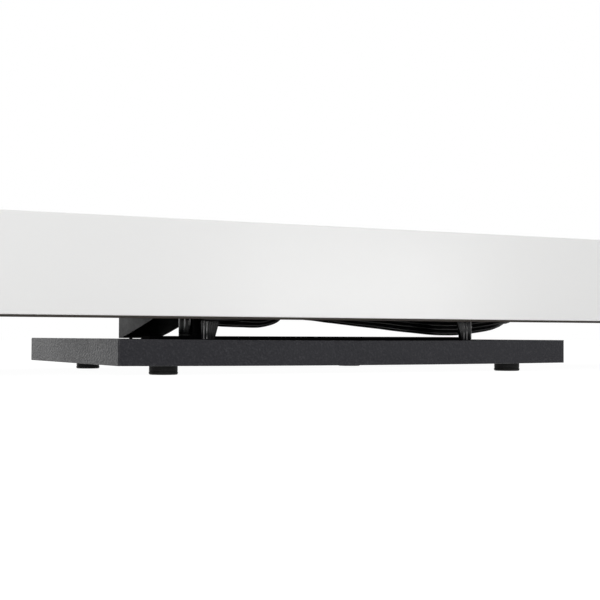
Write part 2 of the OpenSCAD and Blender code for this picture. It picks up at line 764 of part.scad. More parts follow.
base_plate();
rubber_feet();
foot_screws();
bridge_bar();
left_post();
right_post();
round_post();
post_collar();
support_wedge();
wedge_pad();
stand_screws();
post_screws();
rear_apron();
apron_edge_strip();
top_case();
bottom_pan();
left_cheek();
right_cheek();
key_slip();
key_blocks();
rear_cleat();
pan_screws();
key_frame();
pivot_rod();
key_springs();
stop_felt();
name_felt();
contact_board();
contact_strip();
keys_c();
keys_c_sharp();
keys_d();
keys_d_sharp();
keys_e();
keys_f();
keys_f_sharp();
keys_g();
keys_g_sharp();
keys_a();
keys_a_sharp();
keys_b();
power_button();
button_1();
button_2();
button_3();
volume_knob();
control_board();
music_rest();
rest_pins();
main_board();
jack_plate();
jacks();
dc_inlet();
speaker_baskets();
speaker_cones();
speaker_magnets();
speaker_grilles();
left_loom();
right_loom();
loom_grommets();
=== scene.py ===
"""Slim digital piano on a low plate stand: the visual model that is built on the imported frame."""
import json
import logging
import math
from dataclasses import dataclass
from enum import Enum
from typing import Iterable, Sequence

import bmesh
import bpy
import numpy as np
from mathutils import Matrix, Vector

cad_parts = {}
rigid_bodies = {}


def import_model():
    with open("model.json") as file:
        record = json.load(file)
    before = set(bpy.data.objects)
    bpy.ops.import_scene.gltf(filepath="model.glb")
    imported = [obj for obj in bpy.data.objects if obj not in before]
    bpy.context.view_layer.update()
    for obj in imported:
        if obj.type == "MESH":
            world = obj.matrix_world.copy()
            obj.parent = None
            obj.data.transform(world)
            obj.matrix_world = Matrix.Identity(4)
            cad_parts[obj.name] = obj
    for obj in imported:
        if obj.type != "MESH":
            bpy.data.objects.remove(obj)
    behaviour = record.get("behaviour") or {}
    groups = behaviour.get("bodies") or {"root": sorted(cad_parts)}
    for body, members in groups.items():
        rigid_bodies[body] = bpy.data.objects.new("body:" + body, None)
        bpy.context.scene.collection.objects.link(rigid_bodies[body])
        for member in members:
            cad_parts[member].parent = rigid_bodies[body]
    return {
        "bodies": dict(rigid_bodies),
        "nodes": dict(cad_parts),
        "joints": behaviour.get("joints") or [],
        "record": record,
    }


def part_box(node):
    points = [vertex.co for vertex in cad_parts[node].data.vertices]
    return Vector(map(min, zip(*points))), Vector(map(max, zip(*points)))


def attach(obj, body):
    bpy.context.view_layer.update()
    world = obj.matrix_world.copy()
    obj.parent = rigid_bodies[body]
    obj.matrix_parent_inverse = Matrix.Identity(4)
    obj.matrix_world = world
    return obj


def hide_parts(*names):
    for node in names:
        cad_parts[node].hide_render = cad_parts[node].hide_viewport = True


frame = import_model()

LOG = logging.getLogger("piano")
MM = 0.001
# Vertex attribute: how strongly a painted highlight shows at a vertex, 0 to 1.
PAINTED_HIGHLIGHT = "rim"

Rgb = tuple[float, float, float]
Point = tuple[float, float, float]
MeshData = tuple[np.ndarray, list[tuple[int, ...]]]


# --------------------------------------------------------------------------------------------------
# Shapes


def ring_stack(rings: np.ndarray, capped: bool = True, closed: bool = False) -> MeshData:
    """Skins a stack of closed rings with quads.

    Args:
        rings: array of shape (rings, points, 3), every ring counter-clockwise seen against the way
            the stack grows, so that the faces look outwards.
        capped: whether the first and last ring are closed with a flat face.
        closed: whether the last ring joins the first again.

    Returns:
        Vertices and faces.
    """
    count, size = rings.shape[:2]
    faces: list[tuple[int, ...]] = []
    for i in range(count if closed else count - 1):
        a, b = i * size, ((i + 1) % count) * size
        for k in range(size):
            n = (k + 1) % size
            faces.append((a + k, a + n, b + n, b + k))
    if capped and not closed:
        faces.append(tuple(range(size - 1, -1, -1)))
        faces.append(tuple(range((count - 1) * size, count * size)))
    return rings.reshape(-1, 3), faces


def merged(parts: Iterable[MeshData]) -> MeshData:
    """Joins several shells into one set of vertices and faces.

    Args:
        parts: the shells.

    Returns:
        All their vertices and faces as one mesh.
    """
    verts: list[np.ndarray] = []
    faces: list[tuple[int, ...]] = []
    start = 0
    for v, f in parts:
        verts.append(v)
        faces.extend(tuple(i + start for i in face) for face in f)
        start += len(v)
    return np.concatenate(verts), faces


def rounded_outline(corners: Sequence[tuple[float, float]], radii: Sequence[float],
                    steps: int = 4) -> np.ndarray:
    """Rounds the corners of a plane polygon that runs counter-clockwise.

    Args:
        corners: the polygon's corners.
        radii: one radius for each corner, zero for a sharp one.
        steps: number of chords in each rounded corner.

    Returns:
        Array of shape (points, 2).
    """
    pts = np.array(corners, float)
    out: list[np.ndarray] = []
    for i, p in enumerate(pts):
        a, b = pts[i - 1] - p, pts[(i + 1) % len(pts)] - p
        la, lb = np.linalg.norm(a), np.linalg.norm(b)
        a, b = a / la, b / lb
        if radii[i] <= 0:
            out.append(p)
            continue
        half = math.acos(max(-1.0, min(1.0, float(a @ b)))) / 2
        reach = min(radii[i] / math.tan(half), 0.48 * la, 0.48 * lb)
        r = reach * math.tan(half)
        centre = p + (a + b) / np.linalg.norm(a + b) * (r / math.sin(half))
        start, end = p + a * reach - centre, p + b * reach - centre
        t0 = math.atan2(start[1], start[0])
        turn = (math.atan2(end[1], end[0]) - t0 + math.pi) % (2 * math.pi) - math.pi
        for s in np.linspace(0, 1, steps + 1):
            out.append(centre + r * np.array([math.cos(t0 + turn * s), math.sin(t0 + turn * s)]))
    return np.array(out)


def quarter(radius: float, fillet: float, points: int) -> list[tuple[float, float]]:
    """The rounded lower rim of a turned profile: a quarter circle from the underside up to the wall.

    Args:
        radius: the wall's radius.
        fillet: radius of the rounding.
        points: number of points.

    Returns:
        Radius and height pairs.
    """
    return [(radius - fillet * (1 - math.sin(t)), fillet * (1 - math.cos(t)))
            for t in np.linspace(0, math.pi / 2, points)]


def inset(outline: np.ndarray, distance: float) -> np.ndarray:
    """Moves every side of a counter-clockwise outline inwards by a distance, with mitred corners.

    Args:
        outline: array of shape (points, 2).
        distance: how far the sides move in.

    Returns:
        The new outline, point for point.
    """
    ahead = np.roll(outline, -1, axis=0) - outline
    ahead /= np.maximum(np.linalg.norm(ahead, axis=1, keepdims=True), 1e-12)
    normal = np.stack([-ahead[:, 1], ahead[:, 0]], axis=1)
    before = np.roll(normal, 1, axis=0)
    mitre = (normal + before) / np.maximum(1 + np.sum(normal * before, axis=1, keepdims=True), 0.3)
    return outline + mitre * distance


def slab(outline: np.ndarray, low: float, high: float, soft_low: float, soft_high: float,
         steps: int = 3) -> MeshData:
    """A plate of the outline's shape with rounded lower and upper rims, standing along Z.

    Args:
        outline: counter-clockwise outline in X and Y.
        low: lower level.
        high: upper level.
        soft_low: radius of the lower rim, zero for a sharp one.
        soft_high: radius of the upper rim.
        steps: chords in each rim.

    Returns:
        Vertices and faces.
    """
    levels: list[tuple[float, float]] = []
    for t in np.linspace(0, math.pi / 2, steps + 1) if soft_low > 0 else [math.pi / 2]:
        levels.append((low + soft_low * (1 - math.sin(t)), soft_low * (1 - math.cos(math.pi / 2 - t))))
    levels.sort()
    for t in np.linspace(0, math.pi / 2, steps + 1) if soft_high > 0 else [0.0]:
        levels.append((high - soft_high * (1 - math.sin(t)), soft_high * (1 - math.cos(t))))
    rings = []
    for z, d in levels:
        flat = inset(outline, d)
        rings.append(np.column_stack([flat, np.full(len(flat), z)]))
    return ring_stack(np.array(rings))


def turned(profile: Sequence[tuple[float, float]], centre: Point, sides: int = 64) -> MeshData:
    """A solid of revolution about a vertical axis.

    Args:
        profile: radius and height pairs from the lower axis point outwards and up to the upper one.
        centre: the axis point at height zero.
        sides: number of facets round.

    Returns:
        Vertices and faces.
    """
    a = np.linspace(0, 2 * math.pi, sides, endpoint=False)
    x, y, z0 = centre
    rows = [np.column_stack([x + r * np.cos(a), y + r * np.sin(a), np.full(sides, z0 + z)])
            for r, z in profile]
    return ring_stack(np.array(rows))


def bent_route(points: Sequence[tuple[float, ...]], count: int) -> np.ndarray:
    """A smooth line through given points, as a Catmull-Rom curve with even spacing.

    Args:
        points: the points it passes, each with any number of values.
        count: how many points the line gets.

    Returns:
        Array of shape (count, values).
    """
    p = np.array(points, float)
    p = np.vstack([2 * p[0] - p[1], p, 2 * p[-1] - p[-2]])
    fine: list[np.ndarray] = []
    for i in range(1, len(p) - 2):
        t = np.linspace(0, 1, 24, endpoint=False)[:, None]
        a, b, c, d = p[i - 1], p[i], p[i + 1], p[i + 2]
        fine.append(0.5 * (2 * b + (c - a) * t + (2 * a - 5 * b + 4 * c - d) * t**2
                           + (3 * b - a - 3 * c + d) * t**3))
    line = np.vstack([*fine, p[-2][None]])
    step = np.concatenate([[0], np.cumsum(np.linalg.norm(np.diff(line, axis=0), axis=1))])
    even = np.linspace(0, step[-1], count)
    return np.column_stack([np.interp(even, step, line[:, k]) for k in range(line.shape[1])])


# --------------------------------------------------------------------------------------------------
# Finishes


class Pattern(Enum):
    """The kinds of surface that a finish can have."""

    TEXTURED = "textured"
    SMOOTH = "smooth"
    GRAINED = "grained"
    BRUSHED = "brushed"
    NAPPED = "napped"
    TIMBER = "timber"
    CIRCUIT = "circuit"


class NodeDesk:
    """Lays out shader nodes in one tree."""

    def __init__(self, tree: bpy.types.NodeTree) -> None:
        """Args: tree: the node tree to fill."""
        self.tree = tree

    def add(self, kind: str, **settings: object) -> bpy.types.Node:
        """Adds a node.

        Args:
            kind: node type without the ShaderNode prefix.
            settings: attributes of the node, or values of its inputs where the name is an input's.

        Returns:
            The node.
        """
        node = self.tree.nodes.new("ShaderNode" + kind)
        for name, value in settings.items():
            if hasattr(node, name) and name not in ("Scale",):
                setattr(node, name, value)
            else:
                node.inputs[name.replace("_", " ")].default_value = value
        return node

    def join(self, source: object, target: object) -> None:
        """Links an output to an input.

        Args:
            source: the output socket.
            target: the input socket.
        """
        self.tree.links.new(source, target)

    def math(self, operation: str, first: object, second: object, clamp: bool = False) -> object:
        """A math node of two values, each a socket or a number.

        Args:
            operation: the Math node's operation.
            first: first operand.
            second: second operand.
            clamp: whether the result is clamped to 0 to 1.

        Returns:
            The result's socket.
        """
        node = self.add("Math", operation=operation, use_clamp=clamp)
        for i, value in enumerate((first, second)):
            if isinstance(value, (int, float)):
                node.inputs[i].default_value = value
            else:
                self.join(value, node.inputs[i])
        return node.outputs[0]

    def blend(self, factor: object, first: object, second: object) -> object:
        """A colour mix.

        Args:
            factor: socket of the mixing factor.
            first: colour socket at factor 0.
            second: colour socket at factor 1.

        Returns:
            The mixed colour's socket.
        """
        node = self.add("Mix", data_type="RGBA")
        self.join(factor, node.inputs[0])
        self.join(first, node.inputs[6])
        self.join(second, node.inputs[7])
        return node.outputs[2]

    def noise(self, vector: object, scale: object, detail: float = 2.0) -> object:
        """A noise texture.

        Args:
            vector: coordinates.
            scale: number or socket.
            detail: octaves.

        Returns:
            The value's socket.
        """
        node = self.add("TexNoise", Detail=detail)
        self.join(vector, node.inputs["Vector"])
        if isinstance(scale, (int, float)):
            node.inputs["Scale"].default_value = scale
        else:
            self.join(scale, node.inputs["Scale"])
        return node.outputs["Fac"]

    def stretched(self, vector: object, scale: Point) -> object:
        """Coordinates scaled differently along each axis.

        Args:
            vector: coordinates.
            scale: factor along X, Y and Z.

        Returns:
            The scaled vector's socket.
        """
        node = self.add("Mapping")
        self.join(vector, node.inputs["Vector"])
        node.inputs["Scale"].default_value = scale
        return node.outputs["Vector"]

    def narrowed(self, value: object, low: float, high: float) -> object:
        """Maps a stretch of a value to the full range 0 to 1.

        Args:
            value: value socket.
            low: what becomes 0.
            high: what becomes 1.

        Returns:
            The mapped value's socket.
        """
        node = self.add("MapRange")
        self.join(value, node.inputs["Value"])
        node.inputs["From Min"].default_value = low
        node.inputs["From Max"].default_value = high
        return node.outputs["Result"]


class PatternGroup:
    """Builds and keeps one node group for each surface pattern.

    Every group takes two colours, a tone scale, a grain scale, roughness, its swing, the grain's depth,
    and the strength and colour of a painted highlight.  It gives a colour, a roughness and a normal for the
    material's own shader.  The painted highlight is light drawn into the colour and broken up by noise in
    patches: on rounded edges, along the crests of a post's ribs, and as lines of light on the round post.
    A pattern's own method takes the desk, the coordinates, the group's inputs and the slow tone, and
    returns the mask between the two colours and the height of the grain.
    """

    INPUTS = (("Colour", "NodeSocketColor"), ("Tint", "NodeSocketColor"), ("Tone Scale", "NodeSocketFloat"),
              ("Grain Scale", "NodeSocketFloat"), ("Roughness", "NodeSocketFloat"),
              ("Swing", "NodeSocketFloat"), ("Depth", "NodeSocketFloat"),
              ("Painted Highlight Strength", "NodeSocketFloat"), ("Painted Highlight Colour", "NodeSocketColor"))

    def __init__(self) -> None:
        """Starts with no group made."""
        self._made: dict[Pattern, bpy.types.NodeTree] = {}

    def get(self, pattern: Pattern) -> bpy.types.NodeTree:
        """The node group of a pattern, made on first use.

        Args:
            pattern: the surface pattern.

        Returns:
            The group.
        """
        if pattern not in self._made:
            self._made[pattern] = self._build(pattern)
        return self._made[pattern]

    def _build(self, pattern: Pattern) -> bpy.types.NodeTree:
        """Makes one group.

        Args:
            pattern: the surface pattern.

        Returns:
            The group.
        """
        tree = bpy.data.node_groups.new("surface_" + pattern.value, "ShaderNodeTree")
        for name, kind in self.INPUTS:
            tree.interface.new_socket(name, in_out="INPUT", socket_type=kind)
        for name, kind in (("Colour", "NodeSocketColor"), ("Roughness", "NodeSocketFloat"),
                           ("Normal", "NodeSocketVector")):
            tree.interface.new_socket(name, in_out="OUTPUT", socket_type=kind)
        desk = NodeDesk(tree)
        given = tree.nodes.new("NodeGroupInput").outputs
        out = tree.nodes.new("NodeGroupOutput").inputs
        where = desk.add("TexCoord").outputs["Object"]
        tone = desk.narrowed(desk.noise(where, given["Tone Scale"], 4.0), 0.35, 0.65)
        mask, height = getattr(self, "_" + pattern.value)(desk, where, given, tone)
        # Painted highlight: the vertex marks, times the strength and a noise in patches, mix the colour
        # towards the highlight colour.
        rim = desk.add("Attribute", attribute_name=PAINTED_HIGHLIGHT).outputs["Fac"]
        highlight_patches = desk.narrowed(desk.noise(where, 160.0, 3.0), 0.3, 0.62)
        strong = desk.math("MULTIPLY", rim, given["Painted Highlight Strength"])
        painted_highlight_mask = desk.math("MULTIPLY", strong, highlight_patches, clamp=True)
        plain = desk.blend(mask, given["Colour"], given["Tint"])
        desk.join(desk.blend(painted_highlight_mask, plain, given["Painted Highlight Colour"]), out["Colour"])
        smear = desk.math("SUBTRACT", tone, 0.5)
        swing = desk.math("MULTIPLY", smear, given["Swing"])
        desk.join(desk.math("ADD", given["Roughness"], swing, clamp=True), out["Roughness"])
        bump = desk.add("Bump")
        bump.inputs["Strength"].default_value = 1.0
        desk.join(given["Depth"], bump.inputs["Distance"])
        desk.join(height, bump.inputs["Height"])
        desk.join(bump.outputs["Normal"], out["Normal"])
        return tree

    @staticmethod
    def _textured(desk: NodeDesk, where: object, given: object, tone: object) -> tuple[object, object]:
        """Sprayed wrinkle coat: small rounded bumps, with pale flecks where its fine noise is high."""
        cells = desk.add("TexVoronoi", feature="SMOOTH_F1")
        desk.join(where, cells.inputs["Vector"])
        desk.join(given["Grain Scale"], cells.inputs["Scale"])
        fine = desk.noise(where, given["Grain Scale"], 3.0)
        height = desk.math("ADD", desk.math("MULTIPLY", cells.outputs["Distance"], -1.0), fine)
        flecks = desk.narrowed(fine, 0.52, 0.78)
        mask = desk.math("ADD", desk.math("MULTIPLY", flecks, 0.8), desk.math("MULTIPLY", tone, 0.2),
                         clamp=True)
        return mask, height

    @staticmethod
    def _smooth(desk: NodeDesk, where: object, given: object, tone: object) -> tuple[object, object]:
        """Even coat: slow tone drift and a very fine orange peel."""
        peel = desk.noise(where, given["Grain Scale"], 2.0)
        return desk.math("MULTIPLY", tone, 0.6), peel

    @staticmethod
    def _grained(desk: NodeDesk, where: object, given: object, tone: object) -> tuple[object, object]:
        """Moulded plastic or rubber with a spark-eroded grain and a little dust in it."""
        fine = desk.noise(where, given["Grain Scale"], 5.0)
        dust = desk.narrowed(fine, 0.58, 0.8)
        mask = desk.math("ADD", desk.math("MULTIPLY", dust, 0.5), desk.math("MULTIPLY", tone, 0.3),
                         clamp=True)
        return mask, fine

    @staticmethod
    def _brushed(desk: NodeDesk, where: object, given: object, tone: object) -> tuple[object, object]:
        """Metal drawn or brushed along X: long thin scratches."""
        lines = desk.noise(desk.stretched(where, (0.02, 1.0, 1.0)), given["Grain Scale"], 3.0)
        return desk.narrowed(lines, 0.35, 0.7), lines

    @staticmethod
    def _napped(desk: NodeDesk, where: object, given: object, tone: object) -> tuple[object, object]:
        """Felt: matted fibres without a direction."""
        warp = desk.add("TexNoise", Detail=6.0, Distortion=2.5)
        desk.join(where, warp.inputs["Vector"])
        desk.join(given["Grain Scale"], warp.inputs["Scale"])
        fibres = warp.outputs["Fac"]
        return desk.narrowed(fibres, 0.3, 0.75), fibres

    @staticmethod
    def _timber(desk: NodeDesk, where: object, given: object, tone: object) -> tuple[object, object]:
        """Wood or pressed board cut along X: streaks with pores."""
        streaks = desk.noise(desk.stretched(where, (0.06, 1.0, 1.0)), given["Grain Scale"], 5.0)
        pores = desk.noise(desk.stretched(where, (0.3, 1.0, 1.0)), 1400.0, 2.0)
        mask = desk.math("ADD", desk.math("MULTIPLY", desk.narrowed(streaks, 0.3, 0.7), 0.75),
                         desk.math("MULTIPLY", desk.narrowed(pores, 0.5, 0.7), 0.25), clamp=True)
        return mask, desk.math("ADD", streaks, pores)

    @staticmethod
    def _circuit(desk: NodeDesk, where: object, given: object, tone: object) -> tuple[object, object]:
        """Printed board: straight tracks and round pads under the lacquer."""
        tracks = desk.add("TexBrick", offset=0.37)
        desk.join(where, tracks.inputs["Vector"])
        desk.join(given["Grain Scale"], tracks.inputs["Scale"])
        tracks.inputs["Mortar Size"].default_value = 0.035
        cells = desk.add("TexVoronoi")
        desk.join(where, cells.inputs["Vector"])
        desk.join(given["Grain Scale"], cells.inputs["Scale"])
        pads = desk.math("LESS_THAN", cells.outputs["Distance"], 0.12)
        mask = desk.math("MAXIMUM", tracks.outputs["Fac"], pads)
        return mask, mask


@dataclass(frozen=True)
class Finish:
    """One procedural finish.

    Attributes:
        pattern: its surface pattern.
        colour: main colour, linear.
        tint: second colour of the pattern, linear.
        roughness: mean roughness.
        swing: how far roughness drifts with the slow tone.
        tone: scale of the slow tone, per metre.
        grain: scale of the fine grain, per metre.
        depth: height of the grain in metres.
        metallic: metalness.
        coat: weight of a clear coat.
        sheen: weight of a cloth sheen.
        specular: level of the plain reflection, 0.5 for ordinary plastic.
        rim: how strongly the painted highlight shows.
        highlight_tone: how light the painted highlight is where it shows fully, linear.
    """

    pattern: Pattern
    colour: Rgb
    tint: Rgb
    roughness: float
    swing: float = 0.05
    tone: float = 9.0
    grain: float = 900.0
    depth: float = 0.00005
    metallic: float = 0.0
    coat: float = 0.0
    sheen: float = 0.0
    specular: float = 0.5
    rim: float = 0.0
    highlight_tone: float = 0.15

    def build(self, name: str, groups: PatternGroup) -> bpy.types.Material:
        """Makes the material.

        Args:
            name: material name.
            groups: the shared pattern groups.

        Returns:
            The material.
        """
        material = bpy.data.materials.new(name)
        material.use_nodes = True
        tree = material.node_tree
        shader = tree.nodes["Principled BSDF"]
        surface = tree.nodes.new("ShaderNodeGroup")
        surface.node_tree = groups.get(self.pattern)
        surface.inputs["Colour"].default_value = (*self.colour, 1.0)
        surface.inputs["Tint"].default_value = (*self.tint, 1.0)
        surface.inputs["Tone Scale"].default_value = self.tone
        surface.inputs["Grain Scale"].default_value = self.grain
        surface.inputs["Roughness"].default_value = self.roughness
        surface.inputs["Swing"].default_value = self.swing
        surface.inputs["Depth"].default_value = self.depth
        surface.inputs["Painted Highlight Strength"].default_value = self.rim
        surface.inputs["Painted Highlight Colour"].default_value = (self.highlight_tone, self.highlight_tone, self.highlight_tone, 1.0)
        tree.links.new(surface.outputs["Colour"], shader.inputs["Base Color"])
        tree.links.new(surface.outputs["Roughness"], shader.inputs["Roughness"])
        tree.links.new(surface.outputs["Normal"], shader.inputs["Normal"])
        shader.inputs["Metallic"].default_value = self.metallic
        shader.inputs["Coat Weight"].default_value = self.coat
        shader.inputs["Coat Roughness"].default_value = 0.08
        shader.inputs["Sheen Weight"].default_value = self.sheen
        shader.inputs["Specular IOR Level"].default_value = self.specular
        return material


def finishes() -> dict[str, Finish]:
    """All finishes, by the record's material slot.

    Returns:
        Slot name to finish.
    """
    p = Pattern
    return {
        # rim=0.5 paints a highlight on the rounded edges and a weaker one over the flat faces.
        "textured_coat": Finish(
            p.TEXTURED, (0.007, 0.007, 0.0108), (0.03, 0.03, 0.035), roughness=0.44, swing=0.06, tone=7,
            grain=460, depth=0.0005, specular=0.25, rim=0.5),
        # rim=2.0 with a light highlight tone paints the lines of light along the posts' rib crests.
        "black_sheet": Finish(
            p.SMOOTH, (0.005, 0.005, 0.0058), (0.009, 0.009, 0.0105), roughness=0.3, swing=0.1, tone=30,
            grain=1500, depth=0.00002, specular=0.25, rim=2.0, highlight_tone=0.65),
        # Painted shade: nearly black with almost no reflection, standing in for the shade on the foot bar and
        # the posts' flanges.
        "matt_black": Finish(
            p.GRAINED, (0.0012, 0.0012, 0.0014), (0.004, 0.004, 0.004), roughness=0.8, swing=0.1, tone=25,
            grain=1800, depth=0.00003, specular=0.02),
        # rim=4.0 with a white highlight tone paints the two lines of light on the round post.
        "gloss_black_bar": Finish(
            p.SMOOTH, (0.002, 0.002, 0.0022), (0.005, 0.005, 0.005), roughness=0.17, swing=0.04, tone=40,
            grain=900, depth=0.00001, specular=0.16, rim=4.0, highlight_tone=1.0),
        "black_rubber": Finish(
            p.GRAINED, (0.001, 0.001, 0.001), (0.036, 0.036, 0.036), roughness=0.6, swing=0.1, tone=110,
            grain=2600, depth=0.00006, specular=0.2),
        # rim=0.4 paints a faint highlight on the rounded edges.
        "black_plastic": Finish(
            p.GRAINED, (0.008, 0.008, 0.009), (0.02, 0.02, 0.021), roughness=0.5, swing=0.08, tone=25,
            grain=1500, depth=0.00006, specular=0.09, rim=0.4, highlight_tone=0.12),
        "zinc_steel": Finish(
            p.BRUSHED, (0.52, 0.53, 0.55), (0.62, 0.6, 0.52), roughness=0.33, swing=0.1, tone=60,
            grain=4000, depth=0.00001, metallic=1.0),
        "black_steel": Finish(
            p.BRUSHED, (0.03, 0.03, 0.03), (0.06, 0.06, 0.06), roughness=0.4, swing=0.1, tone=60,
            grain=4000, depth=0.00001, metallic=0.8),
        "bright_rod": Finish(
            p.BRUSHED, (0.6, 0.6, 0.6), (0.7, 0.7, 0.7), roughness=0.22, swing=0.05, tone=20, grain=5000,
            depth=0.00001, metallic=1.0),
        "white_board": Finish(
            p.SMOOTH, (0.885, 0.885, 0.878), (0.875, 0.875, 0.869), roughness=0.24, swing=0.04, tone=3.5,
            grain=420, depth=0.00001),
        "edge_board": Finish(
            p.TIMBER, (0.02, 0.0155, 0.012), (0.035, 0.027, 0.02), roughness=0.8, swing=0.05, tone=9,
            grain=500, depth=0.0001),
        "white_case": Finish(
            p.SMOOTH, (0.84, 0.84, 0.84), (0.82, 0.82, 0.82), roughness=0.3, swing=0.06, tone=4,
            grain=600, depth=0.00002),
        "cleat_wood": Finish(
            p.TIMBER, (0.42, 0.28, 0.15), (0.55, 0.4, 0.24), roughness=0.7, swing=0.1, tone=9, grain=300,
            depth=0.0001),
        "frame_plastic": Finish(
            p.GRAINED, (0.11, 0.12, 0.13), (0.16, 0.17, 0.18), roughness=0.55, swing=0.1, tone=9,
            grain=1600, depth=0.00004),
        "red_felt": Finish(
            p.NAPPED, (0.16, 0.008, 0.012), (0.42, 0.03, 0.04), roughness=0.95, swing=0.02, tone=30,
            grain=1800, depth=0.0005, sheen=0.6),
        "circuit_board": Finish(
            p.CIRCUIT, (0.008, 0.06, 0.028), (0.03, 0.14, 0.06), roughness=0.35, swing=0.05, tone=30,
            grain=120, depth=0.00006, coat=0.4),
        "grey_silicone": Finish(
            p.GRAINED, (0.2, 0.2, 0.2), (0.28, 0.28, 0.28), roughness=0.6, swing=0.05, tone=30,
            grain=1200, depth=0.00003),
        "ivory_plastic": Finish(
            p.SMOOTH, (0.84, 0.825, 0.78), (0.8, 0.785, 0.735), roughness=0.22, swing=0.08, tone=14,
            grain=800, depth=0.000012, coat=0.35),
        "ebony_plastic": Finish(
            p.GRAINED, (0.008, 0.008, 0.008), (0.016, 0.016, 0.016), roughness=0.38, swing=0.08, tone=20,
            grain=2400, depth=0.00003),
        "paper_cone": Finish(
            p.NAPPED, (0.02, 0.02, 0.022), (0.06, 0.06, 0.062), roughness=0.85, swing=0.05, tone=40,
            grain=1500, depth=0.0002),
        "magnet_iron": Finish(
            p.GRAINED, (0.03, 0.03, 0.032), (0.06, 0.055, 0.05), roughness=0.5, swing=0.1, tone=40,
            grain=900, depth=0.0001, metallic=0.6),
        "grille_cloth": Finish(
            p.GRAINED, (0.01, 0.01, 0.01), (0.025, 0.025, 0.025), roughness=0.6, swing=0.1, tone=20,
            grain=1800, depth=0.00005),
        "lead_jacket": Finish(
            p.GRAINED, (0.004, 0.004, 0.004), (0.014, 0.014, 0.014), roughness=0.34, swing=0.1, tone=60,
            grain=1500, depth=0.00002, specular=0.45),
    }


# --------------------------------------------------------------------------------------------------
# Workshop


